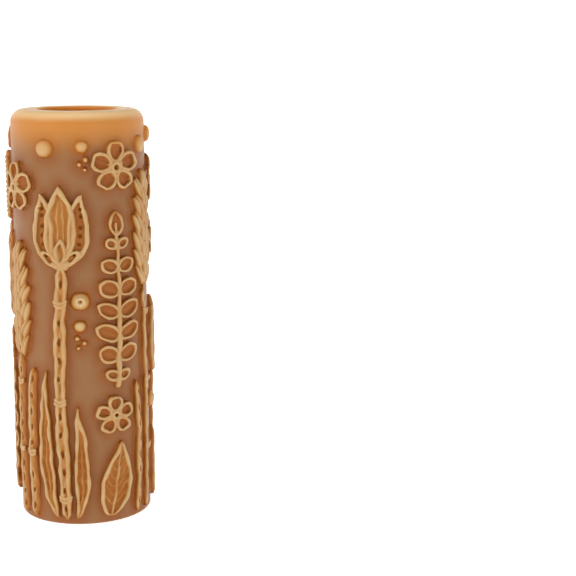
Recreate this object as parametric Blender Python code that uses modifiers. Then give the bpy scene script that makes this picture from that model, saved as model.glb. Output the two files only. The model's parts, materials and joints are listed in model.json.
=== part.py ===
"""Clay texture roller: a thick hollow resin tube whose outside carries raised botanical relief.

The roller stands on one end, with its axis on +Z and the centre of its lower end at the origin.
The side at -Y is the front. Every raised form is drawn flat, as a distance across, a height and a
rise, and is then laid round the tube.
"""

import math

import bmesh
import bpy
from mathutils import Vector

MM = 0.001

# The tube
ROLLER_LENGTH = 100.0 * MM
BASE_RADIUS = 16.0 * MM
BORE_RADIUS = 9.25 * MM
TOP_SHOULDER_RADIUS = 3.0 * MM
FOOT_FILLET_RADIUS = 0.8 * MM
BORE_MOUTH_RADIUS = 0.8 * MM

# How the relief sits on the tube
SEAT_GAP = 0.3 * MM
PLATE_OVERRUN = 0.5 * MM
STRIP_WIDTH = 2.3 * MM
STEM_FOOT_HEIGHT = 1.6 * MM

# Tulips
TULIP_WIDTH = 13.5 * MM
TULIP_HEIGHT = 20.0 * MM
TULIP_RISE = 1.6 * MM
SIDE_PETAL_RISE = 1.4 * MM
CUP_BELLY_RISE = 0.6 * MM
CUP_COLLAR_WIDTH = 3.6 * MM
CUP_COLLAR_HEIGHT = 1.4 * MM
TULIP_STEM_WIDTH = 2.8 * MM
TULIP_STEM_RISE = 1.2 * MM
BLADE_WIDTH = 3.8 * MM
BLADE_RISE = 1.2 * MM
BLADE_SPREAD = 1.6 * MM
BLADE_CLEARANCE = 0.7 * MM

# Barley
EAR_WIDTH = 7.8 * MM
EAR_LENGTH = 29.0 * MM
EAR_RISE = 1.6 * MM
EAR_GRAINS = 7
EAR_CORE_WIDTH = 2.4 * MM
EAR_CORE_RISE = 0.8 * MM
GRAIN_WIDTH = 2.7 * MM
SIDE_GRAIN_RISE = 1.35 * MM
GRAIN_LEAN_DEGREES = 24
AWN_WIDTH = 2.0 * MM
AWN_RISE = 0.6 * MM
EAR_BERRY_CLEARANCE = 3.0 * MM
STALK_WIDTH = 2.3 * MM
STALK_RISE = 1.1 * MM

# Reeds
REED_HEAD_WIDTH = 5.4 * MM
REED_HEAD_LENGTH = 19.0 * MM
REED_HEAD_RISE = 1.6 * MM
REED_SPIKE_WIDTH = 1.3 * MM
REED_SPIKE_LENGTH = 5.5 * MM
REED_SPIKE_RISE = 0.8 * MM
REED_BLOSSOM_CLEARANCE = 0.6 * MM

# Ferns
FERN_WIDTH = 11.4 * MM
FERN_RISE = 1.3 * MM
FERN_PAIRS = 7
FERN_RIB_WIDTH = 1.4 * MM
FERN_CLIMB_DEGREES = 26
LEAFLET_RISE = 1.1 * MM

# Broad leaves
LEAF_WIDTH = 8.6 * MM
LEAF_LENGTH = 19.0 * MM
LEAF_RISE = 1.3 * MM
LEAF_LEAN = 3.0 * MM

# Grass
GRASS_WIDTH = 2.4 * MM
GRASS_RISE = 1.2 * MM

# Blossoms and berries
BLOSSOM_PETALS = 5
PETAL_RISE = 1.05 * MM
PETAL_STEP = 0.04 * MM
BLOSSOM_RING_RISE = 1.2 * MM
LARGE_BLOSSOM_DIAMETER = 12.4 * MM
SMALL_BLOSSOM_DIAMETER = 10.0 * MM
BERRY_RISE = 1.2 * MM
LARGE_BERRY_DIAMETER = 4.6 * MM
SMALL_BERRY_DIAMETER = 3.2 * MM

# Sways: how far a stem bows sideways between its ends
TULIP_STEM_SWAY = 1.0 * MM
STALK_SWAY = 0.8 * MM
GRASS_SWAY = 0.7 * MM
FERN_SWAY = 0.6 * MM

# Places on the tube: the turn from the front as a share of a full turn, and the height as a share
# of the roller's length. Heads are placed by their lowest point, and round forms by their middle.
TULIP_SHARES = ((-0.045, 0.635), (0.273, 0.340), (-0.382, 0.530))
BARLEY_SHARES = ((-0.169, 0.410), (0.172, 0.575), (0.495, 0.620))
BARLEY_WITH_BERRY = 2
REED_TURN_SHARES = (-0.272, 0.370)
REED_HEAD_FOOT_SHARE = 0.72
REED_STALK_FOOT_SHARES = (0.50, 0.505)
REED_WITH_BLOSSOM = 2
FERN_SHARES = ((0.082, 0.340, 0.770), (0.404, 0.050, 0.470), (-0.261, 0.050, 0.480))
BROAD_LEAF_SHARES = ((-0.382, 0.760), (0.073, 0.016))
GRASS_SHARES = (
    (-0.129, 0.016, 0.385),
    (0.138, 0.016, 0.345),
    (0.437, 0.500, 0.970),
    (-0.235, 0.500, 0.710),
)
LARGE_BLOSSOM_SHARES = ((0.086, 0.870), (0.275, 0.826), (-0.175, 0.820))
SMALL_BLOSSOM_SHARES = ((0.072, 0.270), (0.283, 0.680))
LARGE_BERRY_SHARES = (
    (-0.456, 0.460),
    (-0.340, 0.435),
    (0.223, 0.280),
    (-0.080, 0.915),
    (0.253, 0.938),
    (-0.004, 0.555),
)
SMALL_BERRY_SHARES = (
    (-0.454, 0.390),
    (-0.342, 0.365),
    (-0.006, 0.495),
    (-0.476, 0.240),
    (-0.476, 0.110),
    (0.008, 0.920),
    (0.322, 0.600),
    (-0.321, 0.775),
)
BLADE_LENGTH_SHARES = (0.60, 0.46)

# The cast plates that the heads are made of: the rim's outer and inner edge, the panel's edge and
# a grain's top as shares of the reach, and how far a panel lies down and a grain's top stands up
# as shares of the rise
RIM_OUTER_SHARE = 0.94
RIM_INNER_SHARE = 0.72
PANEL_SHARE = 0.58
PANEL_DROP_SHARE = 0.48
PETAL_DROP_SHARE = 0.56
GRAIN_TOP_SHARE = 0.50
GRAIN_CROWN_SHARE = 0.42
PLATE_POINT_SHARE = 0.25
LEAFLET_WIDTH_SHARE = 0.80
FERN_TIP_LENGTH_SHARE = 1.15
FERN_TIP_WIDTH_SHARE = 0.60

# The cup's petals: width, length and foot as shares of the cup's width and height
SIDE_PETAL_SHARES = (0.333, 0.860, 0.020)
SIDE_PETAL_MIDDLE_SHARE = 0.337
SIDE_PETAL_BOW_POWER = 6
CENTRE_PETAL_SHARES = (0.578, 0.965, 0.030)
BELLY_SHARES = (0.860, 0.760, 0.040)
SEPAL_WIDTH_SHARE = 0.22
SEPAL_LENGTH_SHARES = (0.30, 0.36, 0.30)
SEPAL_LEAN_DEGREES = 48

# An ear's grains and awns: lengths and first height as shares of the pitch, and how far out the
# side grains lie as a share of half the ear's width
SIDE_GRAIN_LENGTH_SHARE = 1.56
MIDDLE_GRAIN_LENGTH_SHARE = 1.40
FIRST_GRAIN_SHARE = 0.72
SIDE_GRAIN_PLACE_SHARE = 0.52
AWN_LENGTH_SHARE = 1.9

# A blossom's petals and ring, as shares of half its diameter
PETAL_WIDTH_SHARE = 0.76
PETAL_LENGTH_SHARE = 0.95
RING_WIDTH_SHARE = 0.44

# Facets, and how close two points lie before they are one
TUBE_STEPS = 72
FILLET_STEPS = 3
STRAND_SIDES = 8
BROAD_SIDES = 10
STALK_RINGS = 12
STEM_RINGS = 14
SPIKE_RINGS = 6
PLATE_SEGMENTS = 16
LEAFLET_SEGMENTS = 8
GRAIN_SEGMENTS = 6
BERRY_SEGMENTS = 12
BERRY_RINGS = 6
END_CROWDING = 0.75
MERGE_DISTANCE = 0.01 * MM
WELD_DISTANCE = 0.001 * MM
SHARP_EDGE_DEGREES = 40
FULL_TURN = 2.0 * math.pi

# How a plate's top is formed, step by step: how far each inset goes in, and how far up or down
RIM_STEP = (RIM_OUTER_SHARE - RIM_INNER_SHARE, 0.0)
FLAT_TOP = ()
DISHED_TOP = (RIM_STEP, (RIM_INNER_SHARE - PANEL_SHARE, -PANEL_DROP_SHARE))
PETAL_TOP = (RIM_STEP, (RIM_INNER_SHARE - PANEL_SHARE, -PETAL_DROP_SHARE))
GRAIN_TOP = ((RIM_OUTER_SHARE - GRAIN_TOP_SHARE, GRAIN_CROWN_SHARE),)


def new_material(name, colour, roughness):
    """A plain Principled material."""
    material = bpy.data.materials.new(name)
    material.use_nodes = True
    shader = material.node_tree.nodes["Principled BSDF"]
    shader.inputs["Base Color"].default_value = (*colour, 1.0)
    shader.inputs["Roughness"].default_value = roughness
    shader.inputs["Metallic"].default_value = 0.0
    material.diffuse_color = (*colour, 1.0)
    return material


def clear_scene():
    """Removes the objects that Blender starts with."""
    for obj in list(bpy.data.objects):
        bpy.data.objects.remove(obj)


def arc(centre_x, centre_z, radius, start_degrees, end_degrees):
    """Points along a fillet of the turned profile, ends included."""
    points = []
    for step in range(FILLET_STEPS + 1):
        angle = math.radians(start_degrees + (end_degrees - start_degrees) * step / FILLET_STEPS)
        points.append((centre_x + radius * math.cos(angle), centre_z + radius * math.sin(angle)))
    return points


def tube_profile():
    """The tube's wall as one closed loop: over the top, down the outside, and back up the bore."""
    top = ROLLER_LENGTH
    mouth = BORE_MOUTH_RADIUS
    shoulder = TOP_SHOULDER_RADIUS
    foot = FOOT_FILLET_RADIUS
    inner = BORE_RADIUS + mouth
    points = arc(inner, top - mouth, mouth, 180, 90)
    points += arc(BASE_RADIUS - shoulder, top - shoulder, shoulder, 90, 0)
    points += arc(BASE_RADIUS - foot, foot, foot, 0, -90)
    points += arc(inner, mouth, mouth, -90, -180)
    return points


def add_object(name, mesh, material, collection, axis):
    """One named sub-part, carried by the empty on the roller's axis."""
    obj = bpy.data.objects.new(name, mesh)
    obj.parent = axis
    if not mesh.materials:
        mesh.materials.append(material)
    collection.objects.link(obj)
    return obj


def add_tube(material, collection, axis):
    """The hollow tube: its wall's profile turned about the axis."""
    bm = bmesh.new()
    loop = [bm.verts.new((x, 0.0, z)) for x, z in tube_profile()]
    for first, second in zip(loop, loop[1:] + loop[:1]):
        bm.edges.new((first, second))
    mesh = bpy.data.meshes.new("roller_tube")
    bm.to_mesh(mesh)
    bm.free()
    tube = add_object("roller_tube", mesh, material, collection, axis)
    screw = tube.modifiers.new("Screw", "SCREW")
    screw.angle = FULL_TURN
    screw.steps = TUBE_STEPS
    screw.render_steps = TUBE_STEPS
    screw.use_merge_vertices = True
    screw.merge_threshold = MERGE_DISTANCE
    screw.use_smooth_shade = True
    return tube


def on_tube(across, up, rise):
    """Lays a flat point round the tube, on the front at zero across. Rise is counted from the seat."""
    angle = across / BASE_RADIUS
    radius = BASE_RADIUS + SEAT_GAP + rise
    return Vector((radius * math.sin(angle), -radius * math.cos(angle), up))


def in_flat(across, up, rise):
    """A point of a form that is still flat."""
    return Vector((across, -rise, up))


def mesh_from_sphere(name, facets, place):
    """A mesh that starts as a unit sphere, each of whose points is moved by place()."""
    segments, rings = facets
    bm = bmesh.new()
    bmesh.ops.create_uvsphere(bm, u_segments=segments, v_segments=rings, radius=1.0)
    for vert in bm.verts:
        vert.co = place(vert.co)
    mesh = bpy.data.meshes.new(name)
    bm.to_mesh(mesh)
    bm.free()
    mesh.shade_smooth()
    mesh.set_sharp_from_angle(angle=math.radians(SHARP_EDGE_DEGREES))
    return mesh


def crowd_ends(t):
    """Moves evenly spaced rings towards a strand's two ends, where it turns sharply."""
    return t - END_CROWDING * math.sin(FULL_TURN * t) / FULL_TURN


def strand_mesh(name, size, outline, spine, facets):
    """A long raised form, flat underneath and round on top.

    size is its length, width and rise. outline(t) gives its width there as a share of the full
    width, and spine(t) how far its middle lies across, for t from 0 at the foot to 1 at the tip.
    """
    length, width, rise = size

    def place(unit):
        t = crowd_ends(1.0 - math.acos(max(-1.0, min(1.0, unit.z))) / math.pi)
        around = math.hypot(unit.x, unit.y)
        side, lift = (unit.x / around, -unit.y / around) if around > 1e-4 else (0.0, 0.0)
        share = outline(t)
        across = spine(t) + side * share * width / 2
        return on_tube(across, t * length, max(lift, 0.0) * rise * math.sqrt(share))

    return mesh_from_sphere(name, facets, place)


def plate_mesh(name, rise, segments, shape, top_steps=DISHED_TOP):
    """A cast plate, still flat: steep sides, and a top that its steps dish, crown or leave flat.

    shape(u, v) gives the across and up of each point of its unit disc, whose tip is at v = 1. The
    plate starts a little below its seat, where unite() trims it off.
    """
    bm = bmesh.new()
    rim = {"radius1": 1.0, "radius2": RIM_OUTER_SHARE, "depth": 1.0}
    bmesh.ops.create_cone(bm, cap_ends=True, segments=segments, **rim)
    top = max(bm.faces, key=lambda face: face.calc_center_median().z)
    for thickness, depth in top_steps:
        bmesh.ops.inset_individual(bm, faces=[top], thickness=thickness, depth=depth)
    foot = min(vert.co.z for vert in bm.verts)
    height = max(vert.co.z for vert in bm.verts) - foot
    for vert in bm.verts:
        across, up = shape(vert.co.x, vert.co.y)
        level = (vert.co.z - foot) / height
        vert.co = in_flat(across, up, level * (rise + PLATE_OVERRUN) - PLATE_OVERRUN)
    mesh = bpy.data.meshes.new(name)
    bm.to_mesh(mesh)
    bm.free()
    return mesh


def pointed(width, length, spine=None):
    """The shape of a leaf or petal: round at its base, drawn to a point and bowed along a spine."""
    low = PLATE_POINT_SHARE / (1.0 + PLATE_POINT_SHARE)
    widest = (1.0 + low) ** (0.5 + PLATE_POINT_SHARE) * (1.0 - low) ** 0.5

    def shape(u, v):
        across = u * max(1.0 - v, 0.0) ** PLATE_POINT_SHARE / widest * width / 2
        share = (1.0 + v) / 2
        return across + (spine(share) if spine else 0.0), share * length

    return shape


def oval(width, length):
    """The shape of a grain or a ring, with its zero point at its middle."""
    return lambda u, v: (u * width / 2, v * length / 2)


def strap(width, length, spine):
    """The shape of a rib with square ends, bowed along a spine and half as wide at its tip."""

    def shape(u, v):
        square = math.hypot(u, v) / max(abs(u), abs(v))
        share = (1.0 + v * square) / 2
        return u * square * width / 2 * (1.0 - share / 2) + spine(share), share * length

    return shape


def leant(shape, lean, base):
    """That shape leant to the right about its own zero point, which is moved to the base."""

    def moved(u, v):
        across, up = shape(u, v)
        c, s = math.cos(lean), math.sin(lean)
        return base[0] + across * c + up * s, base[1] + up * c - across * s

    return moved


def unite(name, meshes):
    """Unites flat plates that overlap and lays them round the tube as one closed mesh."""
    store = bpy.data.collections.new(f"{name}_plates")
    bpy.context.scene.collection.children.link(store)
    body, *others = [bpy.data.objects.new(mesh.name, mesh) for mesh in meshes]
    bpy.context.scene.collection.objects.link(body)
    for obj in others:
        store.objects.link(obj)
    union = body.modifiers.new("Union", "BOOLEAN")
    union.operation = "UNION"
    union.operand_type = "COLLECTION"
    union.collection = store
    union.solver = "EXACT"
    bpy.context.view_layer.update()
    mesh = bpy.data.meshes.new_from_object(body.evaluated_get(bpy.context.evaluated_depsgraph_get()))
    mesh.name = name
    for obj in (body, *others):
        bpy.data.objects.remove(obj)
    bpy.data.collections.remove(store)
    bm = bmesh.new()
    bm.from_mesh(mesh)
    trim_at_seat(bm)
    cut_into_strips(bm)
    bmesh.ops.remove_doubles(bm, verts=bm.verts[:], dist=WELD_DISTANCE)
    for vert in bm.verts:
        vert.co = on_tube(vert.co.x, vert.co.z, -vert.co.y)
    bm.to_mesh(mesh)
    bm.free()
    mesh.shade_smooth()
    mesh.set_sharp_from_angle(angle=math.radians(SHARP_EDGE_DEGREES))
    return mesh


def trim_at_seat(bm):
    """Cuts off what lies below the seat of a flat form, and closes it there."""
    everything = bm.verts[:] + bm.edges[:] + bm.faces[:]
    seat = bmesh.ops.bisect_plane(bm, geom=everything, plane_no=(0, 1, 0), clear_outer=True)
    rim = [item for item in seat["geom_cut"] if isinstance(item, bmesh.types.BMEdge)]
    bmesh.ops.triangle_fill(bm, use_beauty=True, edges=rim, normal=(0, 1, 0))


def cut_into_strips(bm):
    """Cuts a flat form's faces into strips narrow enough to lie round the tube."""
    low = min(vert.co.x for vert in bm.verts)
    high = max(vert.co.x for vert in bm.verts)
    strips = math.ceil((high - low) / STRIP_WIDTH)
    for number in range(1, strips):
        cut = Vector((low + (high - low) * number / strips, 0.0, 0.0))
        everything = bm.verts[:] + bm.edges[:] + bm.faces[:]
        bmesh.ops.bisect_plane(bm, geom=everything, plane_co=cut, plane_no=(1, 0, 0))
    bmesh.ops.triangulate(bm, faces=bm.faces[:])


def stem_outline(t):
    """Nearly even in width, with round ends."""
    return (1.0 - abs(2.0 * t - 1.0) ** 24) ** 0.5


def blade_outline(t):
    """A long leaf, widest below its middle and drawn out to a point."""
    return math.sin(math.pi * t**0.75) ** 0.9


def ear_outline(t):
    """An ear that narrows towards its foot, and more towards its tip."""
    return math.sin(math.pi * t**0.72) ** 0.5


def fern_outline(t):
    """How far the leaflets reach, longest below the middle."""
    return math.sin(math.pi * t**0.7) ** 0.7


def straight(t):
    """A spine that runs straight up."""
    return 0.0


def bow(sway):
    """A spine that bows to one side and back."""
    return lambda t: sway * math.sin(math.pi * t)


def slant(lean):
    """A spine that leans to one side by that much in all, about its middle."""
    return lambda t: lean * (t - 0.5)


def turn_to(obj, turn_share, height):
    """Stands a form on the tube at that share of a turn from the front, and at that height."""
    obj.rotation_euler.z = FULL_TURN * turn_share
    obj.location.z = height
    return obj


def cup_bow(side):
    """The line that a side petal of the cup follows: out quickly from its base, then straight up."""
    middle = SIDE_PETAL_MIDDLE_SHARE * TULIP_WIDTH
    return lambda t: side * middle * (1.0 - (1.0 - t) ** SIDE_PETAL_BOW_POWER)


def cup_mesh():
    """A tulip's cup: a centre petal over two side petals, on a belly, with three sepals and a collar."""
    plates = []

    def add(name, size_shares, rise, spine=None):
        width, length, foot = (
            share * size for share, size in zip(size_shares, (TULIP_WIDTH, TULIP_HEIGHT, TULIP_HEIGHT))
        )
        shape = leant(pointed(width, length, spine), 0.0, (0.0, foot))
        plates.append(plate_mesh(name, rise, PLATE_SEGMENTS, shape))

    add("cup_belly", BELLY_SHARES, CUP_BELLY_RISE)
    add("cup_petal_left", SIDE_PETAL_SHARES, SIDE_PETAL_RISE, cup_bow(-1))
    add("cup_petal_right", SIDE_PETAL_SHARES, SIDE_PETAL_RISE, cup_bow(1))
    add("cup_petal_centre", CENTRE_PETAL_SHARES, TULIP_RISE)
    for turn, length_share in zip((-1, 0, 1), SEPAL_LENGTH_SHARES):
        shape = pointed(SEPAL_WIDTH_SHARE * TULIP_WIDTH, length_share * TULIP_HEIGHT)
        shape = leant(shape, turn * math.radians(SEPAL_LEAN_DEGREES), (0.0, 0.0))
        plates.append(plate_mesh("cup_sepal", TULIP_RISE, LEAFLET_SEGMENTS, shape))
    collar = pointed(CUP_COLLAR_WIDTH, CUP_COLLAR_HEIGHT)
    plates.append(plate_mesh("cup_collar", TULIP_RISE, LEAFLET_SEGMENTS, collar, FLAT_TOP))
    return unite("tulip_head", plates)


def add_tulips(material, collection, axis):
    """Each tulip: a cup on a swaying stem, with a long blade leaf on either side of the stem."""
    head = cup_mesh()
    for number, (turn_share, height_share) in enumerate(TULIP_SHARES, 1):
        head_foot = height_share * ROLLER_LENGTH
        obj = add_object(f"tulip_{number}_head", head, material, collection, axis)
        turn_to(obj, turn_share, head_foot)
        sway = TULIP_STEM_SWAY * (-1) ** number
        length = head_foot - SEAT_GAP - STEM_FOOT_HEIGHT
        size = (length, TULIP_STEM_WIDTH, TULIP_STEM_RISE)
        facets = (STRAND_SIDES, STEM_RINGS)
        stem = strand_mesh(f"tulip_{number}_stem", size, stem_outline, bow(sway), facets)
        obj = add_object(stem.name, stem, material, collection, axis)
        turn_to(obj, turn_share, STEM_FOOT_HEIGHT)
        for side, name, length_share in zip((-1, 1), ("left", "right"), BLADE_LENGTH_SHARES):
            blade = blade_mesh(f"tulip_{number}_leaf_{name}", length, length_share, side, sway)
            obj = add_object(blade.name, blade, material, collection, axis)
            turn_to(obj, turn_share, STEM_FOOT_HEIGHT)


def blade_mesh(name, stem_length, length_share, side, stem_sway):
    """A blade leaf that follows its stem's edge and then spreads away from it."""
    size = (stem_length * length_share, BLADE_WIDTH, BLADE_RISE)

    def spine(t):
        stem_middle = stem_sway * math.sin(math.pi * t * length_share)
        clear = TULIP_STEM_WIDTH / 2 + BLADE_CLEARANCE + blade_outline(t) * BLADE_WIDTH / 2
        return stem_middle + side * (clear + BLADE_SPREAD * t**2)

    return strand_mesh(name, size, blade_outline, spine, (STRAND_SIDES, STEM_RINGS))


def add_stalk(name, foot, length, sway, turn_share, material, collection, axis):
    """A thin bowed stalk that stands at that foot height."""
    size = (length, STALK_WIDTH, STALK_RISE)
    stalk = strand_mesh(name, size, stem_outline, bow(sway), (STRAND_SIDES, STALK_RINGS))
    turn_to(add_object(name, stalk, material, collection, axis), turn_share, foot)


def ear_mesh():
    """A barley ear: grains that lean out in pairs, one over each pair, and awns at the tip."""
    pitch = EAR_LENGTH / EAR_GRAINS
    core = pointed(EAR_CORE_WIDTH, EAR_LENGTH - pitch)
    plates = [plate_mesh("ear_core", EAR_CORE_RISE, LEAFLET_SEGMENTS, core, FLAT_TOP)]

    def add(size, rise, lean, middle):
        shape = leant(oval(*size), lean, middle)
        plates.append(plate_mesh("ear_grain", rise, GRAIN_SEGMENTS, shape, GRAIN_TOP))

    lean = math.radians(GRAIN_LEAN_DEGREES)
    for pair in range(EAR_GRAINS - 1):
        share = ear_outline((pair + 1.0 / 2) / EAR_GRAINS)
        up = (pair + FIRST_GRAIN_SHARE) * pitch
        across = SIDE_GRAIN_PLACE_SHARE * share * EAR_WIDTH / 2
        width = GRAIN_WIDTH * share
        for side in (-1, 1):
            size = (width, SIDE_GRAIN_LENGTH_SHARE * pitch)
            add(size, SIDE_GRAIN_RISE, side * lean, (side * across, up))
        add((width, MIDDLE_GRAIN_LENGTH_SHARE * pitch), EAR_RISE, 0.0, (0.0, up + pitch / 2))
    awn_length = AWN_LENGTH_SHARE * pitch
    awns = leant(pointed(AWN_WIDTH, awn_length), 0.0, (0.0, EAR_LENGTH - awn_length))
    plates.append(plate_mesh("ear_awns", AWN_RISE, LEAFLET_SEGMENTS, awns, FLAT_TOP))
    return unite("barley_ear", plates)


def add_barley(material, collection, axis):
    """Each barley: a grained ear on a thin stalk. One has a berry over the tip of its ear."""
    ear = ear_mesh()
    for number, (turn_share, height_share) in enumerate(BARLEY_SHARES, 1):
        ear_foot = height_share * ROLLER_LENGTH
        obj = add_object(f"barley_{number}_ear", ear, material, collection, axis)
        turn_to(obj, turn_share, ear_foot)
        sway = STALK_SWAY * (-1) ** number
        length = ear_foot - SEAT_GAP - STEM_FOOT_HEIGHT
        name = f"barley_{number}_stalk"
        add_stalk(name, STEM_FOOT_HEIGHT, length, sway, turn_share, material, collection, axis)
        if number == BARLEY_WITH_BERRY:
            berry = berry_mesh("ear_berry", LARGE_BERRY_DIAMETER)
            obj = add_object("ear_berry", berry, material, collection, axis)
            tip = ear_foot + EAR_LENGTH
            turn_to(obj, turn_share, tip + EAR_BERRY_CLEARANCE + LARGE_BERRY_DIAMETER / 2)


def reed_head_foot(number):
    """How high a reed's head stands. One reed leaves room for a blossom below the top shoulder."""
    if number != REED_WITH_BLOSSOM:
        return REED_HEAD_FOOT_SHARE * ROLLER_LENGTH
    blossom_foot = ROLLER_LENGTH - TOP_SHOULDER_RADIUS - SMALL_BLOSSOM_DIAMETER
    reed_length = REED_HEAD_LENGTH + SEAT_GAP + REED_SPIKE_LENGTH
    return blossom_foot - REED_BLOSSOM_CLEARANCE - reed_length


def add_reeds(material, collection, axis):
    """Each reed: a blunt head between a stalk and a spike. One has a blossom over its spike."""
    size = (REED_HEAD_LENGTH, REED_HEAD_WIDTH, REED_HEAD_RISE)
    head = strand_mesh("reed_head", size, stem_outline, straight, (BROAD_SIDES, STALK_RINGS))
    size = (REED_SPIKE_LENGTH, REED_SPIKE_WIDTH, REED_SPIKE_RISE)
    spike = strand_mesh("reed_spike", size, blade_outline, straight, (STRAND_SIDES, SPIKE_RINGS))
    for number, turn_share in enumerate(REED_TURN_SHARES, 1):
        head_foot = reed_head_foot(number)
        foot = REED_STALK_FOOT_SHARES[number - 1] * ROLLER_LENGTH
        obj = add_object(f"reed_{number}_head", head, material, collection, axis)
        turn_to(obj, turn_share, head_foot)
        obj = add_object(f"reed_{number}_spike", spike, material, collection, axis)
        turn_to(obj, turn_share, head_foot + REED_HEAD_LENGTH + SEAT_GAP)
        length = head_foot - SEAT_GAP - foot
        name = f"reed_{number}_stalk"
        add_stalk(name, foot, length, -STALK_SWAY, turn_share, material, collection, axis)
        if number == REED_WITH_BLOSSOM:
            blossom = blossom_mesh("reed_blossom", SMALL_BLOSSOM_DIAMETER)
            obj = add_object("reed_blossom", blossom, material, collection, axis)
            turn_to(obj, turn_share, ROLLER_LENGTH - TOP_SHOULDER_RADIUS - SMALL_BLOSSOM_DIAMETER / 2)


def fern_mesh(name, length):
    """A fern's frond: a bowed rib with leaflets in pairs, and one at its tip."""
    spine = bow(FERN_SWAY)
    pitch = length / (FERN_PAIRS + 1)
    rib = strap(FERN_RIB_WIDTH, length - pitch / 2, spine)
    plates = [plate_mesh(f"{name}_rib", FERN_RISE, PLATE_SEGMENTS, rib, FLAT_TOP)]

    def add(size, lean, foot):
        shape = leant(pointed(*size), lean, (spine(foot / length), foot))
        plates.append(plate_mesh(f"{name}_leaflet", LEAFLET_RISE, LEAFLET_SEGMENTS, shape))

    climb = math.radians(FERN_CLIMB_DEGREES)
    for pair in range(FERN_PAIRS):
        t = (pair + 1.0 / 2) / (FERN_PAIRS + 1)
        leaflet_length = fern_outline(t) * FERN_WIDTH / 2 / math.cos(climb)
        leaflet_width = LEAFLET_WIDTH_SHARE * min(pitch, leaflet_length)
        for side in (-1, 1):
            foot = t * length - leaflet_length * math.sin(climb) / 2
            add((leaflet_width, leaflet_length), side * (math.pi / 2 - climb), foot)
    tip_length = FERN_TIP_LENGTH_SHARE * pitch
    add((FERN_TIP_WIDTH_SHARE * tip_length, tip_length), 0.0, length - tip_length)
    return unite(name, plates)


def add_ferns(material, collection, axis):
    """Each fern: a frond that bows a little."""
    for number, (turn_share, foot_share, tip_share) in enumerate(FERN_SHARES, 1):
        frond = fern_mesh(f"fern_{number}", (tip_share - foot_share) * ROLLER_LENGTH)
        obj = add_object(frond.name, frond, material, collection, axis)
        turn_to(obj, turn_share, foot_share * ROLLER_LENGTH)


def add_grass(material, collection, axis):
    """Each grass stem is bare and bows a little, first to one side and then to the other."""
    for number, (turn_share, foot_share, tip_share) in enumerate(GRASS_SHARES, 1):
        size = ((tip_share - foot_share) * ROLLER_LENGTH, GRASS_WIDTH, GRASS_RISE)
        facets = (STRAND_SIDES, STALK_RINGS)
        spine = bow(GRASS_SWAY * (-1) ** number)
        stem = strand_mesh(f"grass_{number}", size, stem_outline, spine, facets)
        obj = add_object(stem.name, stem, material, collection, axis)
        turn_to(obj, turn_share, foot_share * ROLLER_LENGTH)


def add_broad_leaves(material, collection, axis):
    """Each broad leaf leans to one side."""
    for number, (turn_share, height_share) in enumerate(BROAD_LEAF_SHARES, 1):
        size = (LEAF_LENGTH, LEAF_WIDTH, LEAF_RISE)
        spine = slant(LEAF_LEAN * (-1) ** number)
        leaf = strand_mesh(f"broad_leaf_{number}", size, blade_outline, spine, (BROAD_SIDES, STALK_RINGS))
        obj = add_object(leaf.name, leaf, material, collection, axis)
        turn_to(obj, turn_share, height_share * ROLLER_LENGTH)


def blossom_mesh(name, diameter):
    """A blossom: five rimmed petals, each a little over the one before, round a raised ring."""
    reach = diameter / 2
    plates = []
    for number in range(BLOSSOM_PETALS):
        turn = FULL_TURN * number / BLOSSOM_PETALS
        outer_end = (reach * math.sin(turn), reach * math.cos(turn))
        petal = pointed(PETAL_WIDTH_SHARE * reach, PETAL_LENGTH_SHARE * reach)
        petal = leant(petal, turn + math.pi, outer_end)
        rise = PETAL_RISE + number * PETAL_STEP
        plates.append(plate_mesh(f"{name}_petal", rise, LEAFLET_SEGMENTS, petal, PETAL_TOP))
    ring = oval(RING_WIDTH_SHARE * reach, RING_WIDTH_SHARE * reach)
    plates.append(plate_mesh(f"{name}_ring", BLOSSOM_RING_RISE, LEAFLET_SEGMENTS, ring))
    return unite(name, plates)


def berry_mesh(name, diameter):
    """A plain round berry, flat underneath."""

    def place(unit):
        share = 2.0 * math.acos(max(-1.0, min(1.0, unit.z))) / math.pi
        upper = share <= 1.0
        share = share if upper else 2.0 - share
        lift = BERRY_RISE * math.sqrt(1.0 - share**2) if upper else 0.0
        angle = math.atan2(unit.y, unit.x)
        reach = share * diameter / 2
        return on_tube(reach * math.cos(angle), reach * math.sin(angle), lift)

    return mesh_from_sphere(name, (BERRY_SEGMENTS, BERRY_RINGS), place)


def add_round_forms(material, collection, axis):
    """The blossoms and berries, each in two sizes."""
    kinds = (
        ("large_blossom", blossom_mesh, LARGE_BLOSSOM_DIAMETER, LARGE_BLOSSOM_SHARES),
        ("small_blossom", blossom_mesh, SMALL_BLOSSOM_DIAMETER, SMALL_BLOSSOM_SHARES),
        ("large_berry", berry_mesh, LARGE_BERRY_DIAMETER, LARGE_BERRY_SHARES),
        ("small_berry", berry_mesh, SMALL_BERRY_DIAMETER, SMALL_BERRY_SHARES),
    )
    for kind, make, diameter, shares in kinds:
        mesh = make(kind, diameter)
        for number, (turn_share, height_share) in enumerate(shares, 1):
            obj = add_object(f"{kind}_{number}", mesh, material, collection, axis)
            turn_to(obj, turn_share, height_share * ROLLER_LENGTH)


def main():
    clear_scene()
    collection = bpy.data.collections.new("clay_texture_roller")
    bpy.context.scene.collection.children.link(collection)
    axis = bpy.data.objects.new("roller_axis", None)
    collection.objects.link(axis)
    tube_resin = new_material("tube_resin", (0.40, 0.20, 0.09), 0.45)
    relief_resin = new_material("relief_resin", (0.62, 0.40, 0.19), 0.42)
    add_tube(tube_resin, collection, axis)
    add_tulips(relief_resin, collection, axis)
    add_barley(relief_resin, collection, axis)
    add_reeds(relief_resin, collection, axis)
    add_ferns(relief_resin, collection, axis)
    add_grass(relief_resin, collection, axis)
    add_broad_leaves(relief_resin, collection, axis)
    add_round_forms(relief_resin, collection, axis)


main()
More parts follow.
